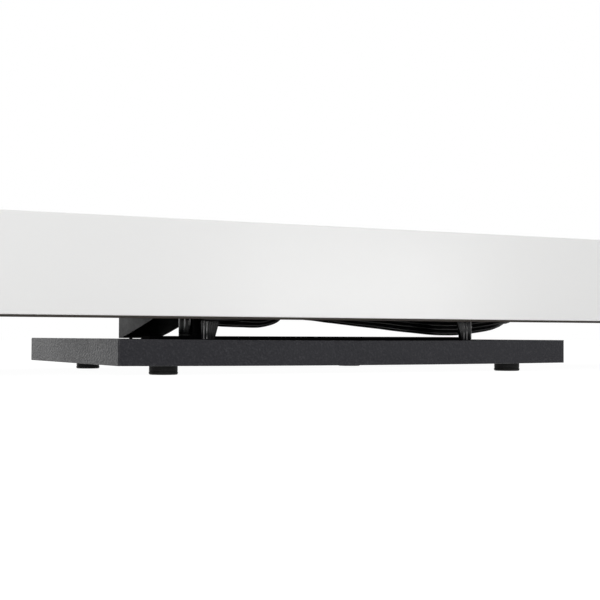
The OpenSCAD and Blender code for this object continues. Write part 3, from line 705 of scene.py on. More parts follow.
class Workshop:
    """Turns shapes into pieces of the object: finish, body and the CAD nodes that they stand for."""

    def __init__(self, source: dict) -> None:
        """Reads the record's bodies and slots, and makes all materials.
        """
        groups = PatternGroup()
        record = source["record"]
        self.nodes: dict[str, bpy.types.Object] = source["nodes"]
        self.body = {n: b for b, ns in record["behaviour"]["bodies"].items() for n in ns}
        self.slots = {s["node"]: s["material_slot"] for s in record["subparts"]}
        self.materials = {k: f.build(k, groups) for k, f in finishes().items()}
        self.done: set[str] = set()

    def piece(self, name: str, data: MeshData, node: str, replaces: bool = True, slot: str | None = None,
              crease: float = 32.0, rims: np.ndarray | None = None) -> bpy.types.Object:
        """Makes a mesh piece.

        Args:
            name: piece name.
            data: vertices and faces.
            node: the CAD node whose body it rides on, and whose finish it takes.
            replaces: whether it stands for that node.
            slot: material slot, where it isn't the node's.
            crease: edges that turn by more degrees than this stay sharp.
            rims: how strongly the painted highlight shows at each vertex, 0 to 1.

        Returns:
            The piece.
        """
        verts, faces = data
        mesh = bpy.data.meshes.new(name)
        mesh.from_pydata(verts.tolist(), [], faces)
        mesh.validate()
        if rims is not None:
            mesh.attributes.new(PAINTED_HIGHLIGHT, "FLOAT", "POINT").data.foreach_set("value", rims.astype(np.float32))
        return self._place(name, mesh, node, replaces, slot, crease)

    def softened(self, node: str, width: float, segments: int = 2, slot: str | None = None,
                 corner: float = 0.0, flat_highlight: float = 0.35, cuts: Sequence[float] = ()) -> bpy.types.Object:
        """A copy of a CAD node's solid with rounded edges, named after the node and standing for it.

        Args:
            node: CAD node.
            width: bevel width in metres.
            segments: facets in each bevel.
            slot: material slot, where it isn't the node's.
            corner: radius of the long upright edges, where it isn't the width.
            flat_highlight: how strongly the painted highlight shows at the flat faces' own vertices.
            cuts: X, in millimetres, of planes through its openings.  The flat faces stay cut there, because
                a single polygon can't have a hole.

        Returns:
            The piece.
        """
        mesh = self.nodes[node].data.copy()
        mesh.name = node + "_body"
        mesh.materials.clear()
        bm = bmesh.new()
        bm.from_mesh(mesh)
        layer = bm.verts.layers.float.new(PAINTED_HIGHLIGHT)
        same, crease = 2e-6, math.radians(38)
        bmesh.ops.remove_doubles(bm, verts=bm.verts, dist=same)
        for x in cuts:
            bmesh.ops.bisect_plane(bm, geom=[*bm.verts, *bm.edges, *bm.faces], plane_co=(x * MM, 0, 0),
                                   plane_no=(1, 0, 0), dist=1e-6)
        inner = [e for e in bm.edges
                 if not any(all(abs(v.co.x - x * MM) < same for v in e.verts) for x in cuts)]
        bmesh.ops.dissolve_limit(bm, angle_limit=math.radians(1.0), verts=bm.verts, edges=inner)
        bmesh.ops.recalc_face_normals(bm, faces=bm.faces)
        if corner:
            upright = [e for e in bm.edges if e.calc_face_angle(0.0) > 1.2 and e.calc_length() > 10 * MM
                       and abs(e.verts[0].co.z - e.verts[1].co.z) > 0.99 * e.calc_length()]
            bmesh.ops.bevel(bm, geom=upright, offset=corner, offset_type="OFFSET", segments=6, profile=0.5,
                            affect="EDGES", clamp_overlap=True)
        sharp = [e for e in bm.edges if len(e.link_faces) == 2 and e.calc_face_angle(0.0) > crease]
        made = bmesh.ops.bevel(bm, geom=sharp, offset=width, offset_type="OFFSET", segments=segments,
                               profile=0.5, affect="EDGES", clamp_overlap=True, miter_outer="ARC")
        rounded = set(made["faces"])
        # Painted highlight: vertices that lie only on bevels are marked fully, the flat faces' vertices
        # partly.
        for v in made["verts"]:
            v[layer] = 1.0 if all(f in rounded for f in v.link_faces) else flat_highlight
        bm.to_mesh(mesh)
        bm.free()
        obj = self._place(mesh.name, mesh, node, True, slot, 40.0)
        even = obj.modifiers.new("even_normals", "WEIGHTED_NORMAL")
        even.keep_sharp = True
        return obj

    def dress(self, node: str) -> None:
        """Gives a CAD node that keeps its own shape the finish of its slot.

        Args:
            node: CAD node.
        """
        obj = self.nodes[node]
        obj.data.materials.clear()
        obj.data.materials.append(self.materials[self.slots[node]])
        self.done.add(node)
        LOG.info("dressed %s", node)

    def adopt(self, obj: bpy.types.Object, node: str, replaces: bool,
              slot: str | None = None) -> bpy.types.Object:
        """Gives an object its finish and its body.

        Args:
            obj: the object.
            node: the CAD node that it goes with.
            replaces: whether it stands for that node.
            slot: material slot, where it isn't the node's.

        Returns:
            The object.
        """
        slot = slot or self.slots[node]
        obj.data.materials.clear()
        obj.data.materials.append(self.materials[slot])
        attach(obj, self.body[node])
        if replaces:
            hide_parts(node)
            self.done.add(node)
        LOG.info("made %s", obj.name)
        return obj

    def _place(self, name: str, mesh: bpy.types.Mesh, node: str, replaces: bool, slot: str | None,
               crease: float) -> bpy.types.Object:
        """Links a mesh as a piece and smooths it up to the crease angle."""
        mesh.shade_smooth()
        mesh.set_sharp_from_angle(angle=math.radians(crease))
        obj = bpy.data.objects.new(name, mesh)
        bpy.context.scene.collection.objects.link(obj)
        return self.adopt(obj, node, replaces, slot)


def size_of(node: str) -> tuple[np.ndarray, np.ndarray]:
    """A CAD node's box.

    Args:
        node: CAD node.

    Returns:
        Lowest and highest corner as arrays.
    """
    low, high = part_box(node)
    return np.array(low), np.array(high)


# --------------------------------------------------------------------------------------------------
# Stand


@dataclass(frozen=True)
class Sag:
    """How the plate bends away a little from the straight bar on it.

    Attributes:
        depth: how far its middle hangs down.
        half: distance from the middle at which nothing sinks.
        full: height up to which things sink fully.
        none: height from which nothing sinks.
    """

    depth: float = 1.0 * MM
    half: float = 270 * MM
    full: float = 35.5 * MM
    none: float = 36.5 * MM

    def lower(self, obj: bpy.types.Object) -> None:
        """Moves a piece's vertices: dz = -depth (1 - (x / half)^2) (1 - t), t from 0 at full to 1 at none.

        Long faces are cut across X first, so that they can bend.

        Args:
            obj: the piece.
        """
        mesh = obj.data
        bm = bmesh.new()
        bm.from_mesh(mesh)
        for x in np.linspace(-0.9, 0.9, 25) * self.half:
            bmesh.ops.bisect_plane(bm, geom=[*bm.verts, *bm.edges, *bm.faces], plane_co=(x, 0, 0),
                                   plane_no=(1, 0, 0), dist=1e-5)
        bm.to_mesh(mesh)
        bm.free()
        co = np.empty(len(mesh.vertices) * 3)
        mesh.vertices.foreach_get("co", co)
        co = co.reshape(-1, 3)
        held = np.clip((co[:, 2] - self.full) / (self.none - self.full), 0, 1)
        co[:, 2] -= self.depth * (1 - (co[:, 0] / self.half) ** 2) * (1 - held)
        mesh.vertices.foreach_set("co", co.ravel())
        mesh.update()


class HeadForm(Enum):
    """Forms of screw head."""

    PAN = "pan"
    SUNK = "sunk"


@dataclass(frozen=True)
class Screw:
    """A screw with a cross recess.

    Attributes:
        length: how far the shank reaches past the head's seat, or past the surface for a sunk head.
        form: form of the head.
        radius: head radius.
        height: head height.
        shank: shank radius.
    """

    length: float
    form: HeadForm = HeadForm.PAN
    radius: float = 3.8 * MM
    height: float = 2.2 * MM
    shank: float = 2.0 * MM

    def shape(self, seat: Point, upwards: bool) -> MeshData:
        """The screw as one closed shell: a turned profile whose top is cut by a cross.

        Rings of the head lie on a flattened dome, height h (0.35 + 0.65 sqrt(1 - f^2.6)) at the fraction
        f of the radius, or on a plane for a sunk head.  Inside the cross they drop by half the height.

        Args:
            seat: the point on its axis where the head bears, or on the surface for a sunk head.
            upwards: whether the head looks up, with the shank below it.

        Returns:
            Vertices and faces.
        """
        sides, r, h = 32, self.radius, self.height
        sunk = self.form is HeadForm.SUNK
        angle = np.linspace(0, 2 * math.pi, sides, endpoint=False)
        rows = [(self.shank * 0.7, -self.length), (self.shank, -self.length + 0.6 * MM)]
        if sunk:
            rows += [(self.shank, -h), (r, -0.12 * MM), (r, -0.05 * MM)]
        else:
            rows += [(self.shank, 0.0), (r, 0.0), (r, 0.35 * h)]
        rings = [np.column_stack([q * np.cos(angle), q * np.sin(angle), np.full(sides, z)]) for q, z in rows]
        for f in (0.97, 0.88, 0.74, 0.6, 0.46, 0.34, 0.22, 0.1):
            x, y = r * f * np.cos(angle), r * f * np.sin(angle)
            dome = -0.05 * MM if sunk else h * (0.35 + 0.65 * math.sqrt(max(0.0, 1 - f**2.6)))
            arm = np.minimum(np.abs(x), np.abs(y))
            slot = np.clip((0.2 * r - arm) / (0.06 * r), 0, 1) * (1.0 if f < 0.62 else 0.0)
            rings.append(np.column_stack([x, y, np.full(sides, dome) - slot * 0.5 * h]))
        verts, faces = ring_stack(np.array(rings))
        if not upwards:
            verts = verts * np.array([1, -1, -1])
        return verts + np.array(seat), faces


@dataclass(frozen=True)
class Post:
    """A post of bent sheet: a ribbed and fluted face, an outer flange in matt near-black as painted shade,
    and a top tab.

    Attributes:
        node: CAD node.
        side: 1 where the outer side looks along +X, -1 where it looks along -X.
        foot: width of the face at the plate.
        slope: growth of the width with height.
        ribs: distance of each rib from the outer side, and how pale the light on its crest is drawn.
        thick: sheet thickness.
        proud: height of a rib.
        flute: distance of the fine flutes.
    """

    node: str
    side: int
    foot: float
    slope: float
    ribs: tuple[tuple[float, float], ...]
    thick: float = 3.0 * MM
    proud: float = 0.6 * MM
    flute: float = 1.6 * MM

    def across(self) -> np.ndarray:
        """The face's section, from the outer side inwards.

        A rib is half an ellipse 0.9 mm wide with a groove beside it, a hollow of a cosine's shape 0.8 mm
        wide and 0.5 mm deep.  The rest of the face has shallow cosine waves.

        Returns:
            Rows of the distance from the outer side, how far the face stands proud, and how strongly a
            painted highlight shows there: along each rib's crest, and faintly on the crests of the waves.
        """
        x = np.linspace(0.25 * MM, self.foot, 110)
        y, pale = np.zeros_like(x), np.zeros_like(x)
        for c, light in self.ribs:
            y = np.maximum(y, self.proud * np.sqrt(np.clip(1 - ((x - c) / (0.45 * MM)) ** 2, 0, 1)))
            # Painted highlight along the rib's crest.
            pale = np.maximum(pale, light * np.clip(1.6 - np.abs(x - c) / (0.36 * MM), 0, 1))
        for c, _ in self.ribs:
            off = np.clip(np.abs(x - c + 1.0 * MM) / (0.4 * MM), 0, 1)
            y = y - 0.25 * MM * (1 + np.cos(math.pi * off))
        wave = 0.5 - 0.5 * np.cos(2 * math.pi * (x - self.kept) / self.flute)
        fluted = x > self.kept
        # The crests of the waves get a faint painted highlight.
        return np.column_stack([x, y - np.where(fluted, 0.35 * MM * wave, 0.0),
                                np.where(fluted, 0.03 * (1 - wave), pale)])

    @property
    def kept(self) -> float:
        """The width next to the outer side that doesn't widen with height."""
        return self.ribs[-1][0] + 0.9 * MM

    def build(self, shop: Workshop, bar: float) -> None:
        """Makes the ribbed face with its top tab, and the flange, which also covers its outer edge, in matt
        near-black as painted shade.

        Args:
            shop: the workshop.
            bar: height of the foot bar, on which the flange stands.
        """
        low, high = size_of(self.node)
        tall, t, keep = high[2] - low[2], self.thick, self.kept
        outer = high[0] if self.side > 0 else low[0]
        front = high[1] - self.proud
        x, y, pale = self.across().T
        rings, rims = [], []
        bend = 0.25 * MM
        for z, d in ((0.0, bend), (bend, 0.0), (10 * MM, 0.0), (20 * MM, 0.0), (tall - bend, 0.0),
                     (tall, bend)):
            wide = self.foot + self.slope * z
            fan = np.where(x > keep, keep + (x - keep) * (wide - keep) / (self.foot - keep), x)
            face = np.column_stack([np.clip(fan, d, wide - d), front + y - d])
            corner = np.array([[wide - d, front - 0.6 * MM], [wide - d, front - t + bend],
                               [wide - bend - d, front - t + d], [bend + d, front - t + d]])
            ring = np.vstack([face, corner])
            level = np.full(len(ring), low[2] + z)
            rings.append(np.column_stack([outer - self.side * ring[:, 0], ring[:, 1], level]))
            rims.append(np.append(pale, np.zeros(len(corner))))
        stack, marks = np.array(rings), np.array(rims)
        if self.side < 0:
            stack, marks = stack[:, ::-1], marks[:, ::-1]
        reach = self.foot + self.slope * tall - 1 * MM

        def plan(width: float, ahead: float) -> np.ndarray:
            """A strip from the post's back, of a width from the outer side, with small rear corners."""
            a, b = sorted((outer, outer - self.side * width))
            return rounded_outline([(a, low[1]), (b, low[1]), (b, ahead), (a, ahead)],
                                   [0.6 * MM, 0.6 * MM, 0.0, 0.0], 3)

        tab = slab(plan(reach, front - t / 2), high[2] - 2 * MM, high[2], 0.3 * MM, 0.0, 2)
        shop.piece(self.node + "_sheet", merged([ring_stack(stack), tab]), self.node, crease=50.0,
                   rims=np.append(marks.ravel(), np.zeros(len(tab[0]))))
        # Painted shade: the flange wall and a thin strip over the face's outer edge take the matt near-black
        # finish, where the post lies in shade.
        wall = slab(plan(t, front - t / 2), low[2] + bar, high[2] - 0.1 * MM, 0.2 * MM, 0.0, 2)
        near = sorted((outer, outer - self.side * bend))
        edge = slab(np.array([(near[0], front - t), (near[1], front - t), (near[1], front - 0.1 * MM),
                              (near[0], front - 0.1 * MM)]), low[2], high[2] - 0.1 * MM, 0.0, 0.0)
        shop.piece(self.node + "_flange", merged([wall, edge]), self.node, slot="matt_black")


class Stand:
    """The low stand: plate, feet, foot bar, posts, wedge and their screws."""

    def __init__(self, shop: Workshop) -> None:
        """Args: shop: the workshop that makes the pieces."""
        self.shop = shop

    def build(self) -> None:
        """Makes every piece of the stand, and lets the plate and the bar's lower face sink."""
        shop = self.shop
        Sag().lower(shop.softened("base_plate", 0.8 * MM, 3, corner=3.2 * MM))
        Sag().lower(shop.softened("bridge_bar", 0.35 * MM, cuts=(-130, -10, 110, 215)))
        shop.softened("support_wedge", 0.8 * MM, 3)
        shop.softened("wedge_pad", 0.3 * MM)
        self._feet()
        bar = size_of("bridge_bar")
        for post in (Post("left_post", 1, 15.5 * MM, 0.285, ((3.3 * MM, 1.0), (6.6 * MM, 0.6))),
                     Post("right_post", -1, 12.6 * MM, 0.37,
                          ((0.8 * MM, 1.0), (6.4 * MM, 0.7), (10.5 * MM, 0.75)))):
            post.build(shop, bar[1][2] - bar[0][2])
        self._round_post()
        self._screws()

    def spots(self) -> list[tuple[float, float, float]]:
        """The four feet.  In front, the treble one is smaller and the bass one stands further in.

        Returns:
            X, Y and radius of each.
        """
        low, high = size_of("rubber_feet")
        r = 14.5 * MM
        treble, bass, back = high[0] - r, low[0] + r, high[1] - r
        return [(treble, back, r), (treble - 1 * MM, 0.5 * MM - back, r - 1.15 * MM), (bass, back, r),
                (bass + 61 * MM, low[1] + r, r)]

    def _feet(self) -> None:
        """Turned rubber feet: a fillet at the floor, a tread band, a lip and a counterbore."""
        low, high = size_of("rubber_feet")
        top, fillet = high[2] - low[2], 1.5 * MM
        feet = []
        for x, y, r in self.spots():
            arc = quarter(r, fillet, 8)
            profile = [(2.2 * MM, 5.0 * MM), (4.6 * MM, 5.0 * MM), (5.0 * MM, 4.6 * MM), (5.0 * MM, 0.4 * MM),
                       (5.4 * MM, 0.0), *arc, (r, 2.7 * MM), (r - 0.15 * MM, 3.05 * MM),
                       (r - 0.5 * MM, 3.2 * MM), (r - 0.5 * MM, 3.6 * MM), (r - 0.2 * MM, 3.9 * MM),
                       (r - 0.25 * MM, top - 0.5 * MM), (r - 0.7 * MM, top), (2.2 * MM, top)]
            rings = turned(profile, (x, y, 0.0), 72)[0].reshape(len(profile), 72, 3)
            feet.append(ring_stack(rings, capped=False, closed=True))
        self.shop.piece("foot_set", merged(feet), "rubber_feet")
        head = Screw(15.0 * MM)
        heads = merged(head.shape((x, y, 5.0 * MM), False) for x, y, _ in self.spots())
        self.shop.piece("foot_screw_set", heads, "foot_screws")

    def _round_post(self) -> None:
        """Round post with small rounded rims and two lines of light drawn on it, and its plain collar.

        Each line has its angle from +X, its half width in degrees and its strength.  It fades evenly to
        nothing at the half width, and downwards to nothing at a sixth of the post's height.
        """
        lines, sides = ((61.6, 9.0, 1.0), (109.1, 15.0, 0.5)), 144
        for node, name, cut in (("round_post", "round_post_tube", 0.4 * MM),
                                ("post_collar", "collar_ring", 0.3 * MM)):
            low, high = size_of(node)
            r, h = (high[0] - low[0]) / 2, high[2] - low[2]
            arc = quarter(r, cut, 4)
            profile = [(r * 0.3, 0.0), *arc, *[(q, h - z) for q, z in reversed(arc)], (r * 0.3, h)]
            middle = (low + high) / 2
            angle = np.linspace(0, 360, sides, endpoint=False)
            pale = sum(light * np.clip(1 - np.abs(angle - at) / half, 0, 1) for at, half, light in lines)
            fade = np.array([1.2 * z / h - 0.2 if node == "round_post" else 0.0 for _, z in profile])
            self.shop.piece(name, turned(profile, (middle[0], middle[1], low[2]), sides), node,
                            rims=(fade[:, None] * pale[None, :]).ravel())

    def _screws(self) -> None:
        """Screws on the foot bar and under the posts' tabs."""
        low, high = size_of("bridge_bar")
        head = Screw(12.0 * MM, HeadForm.SUNK, height=high[2] - low[2])
        spots = [(x * MM, low[1] + 10 * MM, high[2]) for x in (-130, -10, 110, 215)]
        pins = [turned([(1.4 * MM, 0.0), (2 * MM, 0.6 * MM), (2 * MM, 23.4 * MM), (1.4 * MM, 24 * MM)],
                       (x * MM, -128 * MM, low[2] - 11 * MM), 24) for x in (132, 156)]
        self.shop.piece("bar_screw_set", merged([head.shape(s, True) for s in spots] + pins), "stand_screws")
        left, right = size_of("left_post"), size_of("right_post")
        seat = left[1][2] - 2 * MM
        y = left[1][1] - 13 * MM
        head = Screw(5.5 * MM)
        self.shop.piece("post_screw_set", merged(head.shape(s, False) for s in (
            (left[1][0] - 12 * MM, y, seat), (right[0][0] + 12 * MM, y, seat))), "post_screws")


# --------------------------------------------------------------------------------------------------
# Looms


@dataclass(frozen=True)
class Loom:
    """A flat bundle of leads that hangs in a loop between two grommets.

    Attributes:
        name: name of the bundle's leads.
        node: the CAD node that it stands for.
        thick: diameter of a lead.
        gathered: places of the leads in a grommet, across and upwards, in lead radii.
        route: listed points of the bundle's middle, each with half its height there, in metres.
    """

    name: str
    node: str
    thick: float
    gathered: tuple[tuple[float, float], ...]
    route: tuple[tuple[float, ...], ...]

    def lines(self) -> list[np.ndarray]:
        """The centre lines of all leads.

        Where the bundle is tall, lead i lies at height (2 i / (n - 1) - 1) (h - t / 2) above its middle
        and the leads alternate sideways, to keep neighbours at least 1.02 t apart.  As h falls from 1.47 t
        to 1.17 t they move over to their gathered places.

        Returns:
            One array of points for each lead.
        """
        count, t = 84, self.thick
        points = bent_route(self.route, count)
        middle, half = points[:, :3], points[:, 3]
        ahead = np.gradient(middle, axis=0)
        ahead /= np.linalg.norm(ahead, axis=1, keepdims=True)
        up = np.cross([0.0, 1.0, 0.0], ahead)
        up /= np.linalg.norm(up, axis=1, keepdims=True)
        side = np.cross(ahead, up)
        rank = np.linspace(-1, 1, len(self.gathered)) if len(self.gathered) > 1 else np.zeros(1)
        step = 2 * (half - t / 2) / max(1, len(rank) - 1)
        sway = 0.5 * np.sqrt(np.clip((1.02 * t) ** 2 - step**2, 0, None)) if len(rank) > 1 else 0 * half
        close = np.clip((1.47 - half / t) / 0.3, 0, 1)
        close = close * close * (3 - 2 * close)
        out = []
        for i, (across, above) in enumerate(self.gathered):
            a = (1 - close) * rank[i] * (half - t / 2) + close * above * t / 2
            b = (1 - close) * sway * (1 if i % 2 else -1) + close * across * t / 2
            out.append(middle + a[:, None] * up + b[:, None] * side)
        return out

    def build(self, shop: Workshop) -> None:
        """Makes the leads as curves, each standing for the loom's CAD node.

        Args:
            shop: the workshop.
        """
        for i, line in enumerate(self.lines()):
            name = f"{self.name}_{i + 1}"
            curve = bpy.data.curves.new(name, "CURVE")
            curve.dimensions = "3D"
            spline = curve.splines.new("POLY")
            spline.points.add(len(line) - 1)
            spline.points.foreach_set("co", np.column_stack([line, np.ones(len(line))]).ravel())
            spline.use_smooth = True
            curve.bevel_depth = self.thick / 2
            curve.bevel_resolution = 6
            curve.use_fill_caps = True
            obj = bpy.data.objects.new(name, curve)
            bpy.context.scene.collection.objects.link(obj)
            shop.adopt(obj, self.node, True)


def scaled(*points: tuple[float, ...]) -> tuple[tuple[float, ...], ...]:
    """Millimetres to metres.

    Args:
        points: points in millimetres.

    Returns:
        The same points in metres.
    """
    return tuple(tuple(v * MM for v in point) for point in points)


def looms() -> list[Loom]:
    """Both looms and the single lead that runs behind the left post, on their CAD routes.

    Returns:
        The left loom, the right loom and the single lead.
    """
    left = scaled(
        (152, 72, 69, 4.5), (149.8, 72, 64, 4.6), (145.5, 72, 59.5, 5), (139, 72, 56.4, 5.6),
        (131, 72, 54.9, 6.2), (116, 72, 54.3, 6.3), (101, 72, 54, 6.3), (90, 72, 53.5, 6.2),
        (81, 72, 53.5, 6), (73, 72, 54.4, 5.5), (65.5, 72, 56.6, 5), (60.8, 72, 59.4, 4.6),
        (57.6, 72, 64, 4.5), (56, 72, 69, 4.5))
    right = scaled(
        (36, 58, 69, 5.5), (33.6, 58, 66.4, 5.5), (30.5, 58, 64.4, 5.5), (26.9, 58, 63, 5.5),
        (22, 58, 62.1, 5.5), (10, 58, 61.2, 5.9), (-6, 58, 60.2, 6.6), (-26, 58, 59.6, 7.2),
        (-51, 58, 58.3, 8.4), (-77, 58, 56.7, 9.2),
        (-100, 58, 54.5, 9.5), (-127, 58, 52.2, 9.5), (-150, 58, 50.3, 9.5), (-168, 58, 49.8, 9.5),
        (-186, 58, 50.1, 9.5), (-208, 58, 52.2, 9.4), (-233, 58, 55.7, 9.2), (-248.5, 58, 58.3, 7.2),
        (-256, 58, 59.8, 6), (-262, 58, 62.1, 5.6), (-265.8, 58, 64.1, 5.5), (-268.2, 58, 66.3, 5.5),
        (-270, 58, 69, 5.5))
    single = scaled(
        (178, 116, 69, 2.1), (177, 116, 65, 2.1), (174.3, 116, 60.2, 2.1), (169.5, 116, 57, 2.1),
        (162, 116, 55.8, 2.1), (152, 116, 55.7, 2.1), (142, 115, 55.6, 2.1), (132, 110.5, 55.4, 2.1),
        (121, 104.5, 55.8, 2.1), (111, 100, 57.6, 2.1), (104, 97.4, 60.6, 2.1), (100.5, 96.3, 64.6, 2.1),
        (99.5, 96, 69, 2.1))
    three = ((0.0, -1.155), (1.0, 0.577), (-1.0, 0.577))
    four = ((-1.0, -1.0), (1.0, -1.0), (-1.0, 1.0), (1.0, 1.0))
    return [Loom("left_lead", "left_loom", 4.5 * MM, three, left),
            Loom("right_lead", "right_loom", 5.0 * MM, four, right),
            Loom("single_lead", "left_loom", 4.2 * MM, ((0.0, 0.0),), single)]


# --------------------------------------------------------------------------------------------------
# Keyboard


@dataclass(frozen=True)
class Keyboard:
    """Measures of the 88 keys, and the shapes of one natural and one sharp.

    Attributes:
        pitch: distance between naturals.
        gap: gap between naturals.
        head: length of a natural's wide head.
        skirt: depth of a natural's front below its body.
        sharp: width of a sharp at its foot.
    """

    pitch: float = 23.5 * MM
    gap: float = 1.0 * MM
    head: float = 49.0 * MM
    skirt: float = 6.0 * MM
    sharp: float = 10.6 * MM

    NAMES = ("keys_c", "keys_c_sharp", "keys_d", "keys_d_sharp", "keys_e", "keys_f", "keys_f_sharp", "keys_g",
             "keys_g_sharp", "keys_a", "keys_a_sharp", "keys_b")
    HEADS = (0, None, 1, None, 2, 3, None, 4, None, 5, None, 6)

    def octave(self, k: int) -> float:
        """Left edge of an octave's C.

        Args:
            k: octave number; the lowest two naturals and one sharp are in octave -1.

        Returns:
            X in metres.
        """
        return self.pitch * (2 + 7 * k - 26)

    def slot(self, p: int) -> float:
        """Left edge of a tail's slot in the octave.

        Args:
            p: pitch class, 0 for C to 12 for the next C.

        Returns:
            Distance from the octave's left edge.
        """
        low, high = 3 * self.pitch / 5, 4 * self.pitch / 7
        return p * low if p <= 5 else 5 * low + (p - 5) * high

    @staticmethod
    def octaves(p: int) -> range:
        """The octaves that have a key of this pitch class.

        Args:
            p: pitch class.

        Returns:
            Octave numbers.
        """
        return range(-1, 7) if p >= 9 else range(0, 8) if p == 0 else range(0, 7)

    def natural(self, k: int, p: int, low: np.ndarray, high: np.ndarray) -> MeshData:
        """One natural: a cap with a rounded rim over a slightly narrower body and a front skirt.

        Args:
            k: octave.
            p: pitch class.
            low: lowest corner of the pitch class's CAD box.
            high: its highest corner.

        Returns:
            Vertices and faces.
        """
        g = self.gap / 2
        x0 = self.octave(k) + self.HEADS[p] * self.pitch + g
        x1 = x0 + self.pitch - self.gap
        t0 = x0 if (k < 0 and p == 9) else self.octave(k) + self.slot(p) + g
        t1 = x1 if (k == 7 and p == 0) else self.octave(k) + self.slot(p + 1) - g
        front, back = low[1], high[1]
        shoulder = front + self.head
        corners, radii = [(x0, front), (x1, front)], [0.9 * MM, 0.9 * MM]
        if x1 - t1 > 0.1 * MM:
            corners += [(x1, shoulder), (t1, shoulder)]
            radii += [0.9 * MM, 0.8 * MM]
        corners += [(t1, back), (t0, back)]
        radii += [0.9 * MM, 0.9 * MM]
        if t0 - x0 > 0.1 * MM:
            corners += [(t0, shoulder), (x0, shoulder)]
            radii += [0.8 * MM, 0.9 * MM]
        plan = rounded_outline(corners, radii, 3)
        body_low, top = low[2] + self.skirt, high[2]
        step, rim = 0.35 * MM, 0.8 * MM
        levels = [(body_low, step), (top - 2.7 * MM, step), (top - 2.5 * MM, 0.0), (top - rim, 0.0)]
        levels += [(top - rim * (1 - math.sin(t)), rim * (1 - math.cos(t)))
                   for t in np.linspace(0.3, math.pi / 2, 4)]
        rings = [np.column_stack([inset(plan, d), np.full(len(plan), z)]) for z, d in levels]
        lip = rounded_outline([(x0 + 0.4 * MM, front + 0.5 * MM), (x1 - 0.4 * MM, front + 0.5 * MM),
                               (x1 - 0.4 * MM, front + 8.5 * MM), (x0 + 0.4 * MM, front + 8.5 * MM)],
                              [0.6 * MM] * 4, 2)
        return merged([ring_stack(np.array(rings)), slab(lip, low[2], body_low + 3 * MM, 0.5 * MM, 0.0, 2)])

    def sharp_key(self, k: int, p: int, low: np.ndarray, high: np.ndarray) -> MeshData:
        """One sharp: a drafted head with a sloped front and rounded rims, and its low tail.

        Args:
            k: octave.
            p: pitch class.
            low: lowest corner of the pitch class's CAD box.
            high: its highest corner.

        Returns:
            Vertices and faces.
        """
        x = self.octave(k) + (self.slot(p) + self.slot(p + 1)) / 2
        half = self.sharp / 2
        front, back, foot, top = low[1], high[1], low[2], high[2]
        head_back = back - 78 * MM
        rings = []
        for z, narrow, slope, r in ((0.0, 0.0, 0.0, 0.5), (0.45, 0.05, 2.2, 0.7), (0.8, 0.35, 4.0, 1.0),
                                    (0.93, 0.6, 5.2, 1.3), (0.975, 0.85, 6.3, 1.5), (0.995, 1.3, 7.6, 1.6),
                                    (1.0, 2.0, 8.8, 1.6)):
            w, f = half - narrow * MM, front + slope * MM
            ring = rounded_outline([(x - w, f), (x + w, f), (x + w, head_back), (x - w, head_back)],
                                   [r * MM, r * MM, 0.4 * MM, 0.4 * MM], 4)
            rings.append(np.column_stack([ring, np.full(len(ring), foot + z * (top - foot))]))
        under = head_back - 1 * MM
        tail = rounded_outline([(x - half, under), (x + half, under), (x + half, back), (x - half, back)],
                               [0.4 * MM] * 4, 2)
        return merged([ring_stack(np.array(rings)), slab(tail, foot, foot + 12 * MM, 0.0, 0.4 * MM, 2)])

    def build(self, shop: Workshop) -> None:
        """Makes the keys, one piece for each pitch class, and dresses the action under them.

        Args:
            shop: the workshop.
        """
        for p, node in enumerate(self.NAMES):
            low, high = size_of(node)
            make = self.natural if self.HEADS[p] is not None else self.sharp_key
            keys = merged(make(k, p, low, high) for k in self.octaves(p))
            shop.piece(node + "_tops", keys, node, crease=40.0)
        shop.softened("name_felt", 0.4 * MM)
        for node in ("key_frame", "pivot_rod", "key_springs", "stop_felt", "contact_board", "contact_strip"):
            shop.dress(node)


# --------------------------------------------------------------------------------------------------
# Body


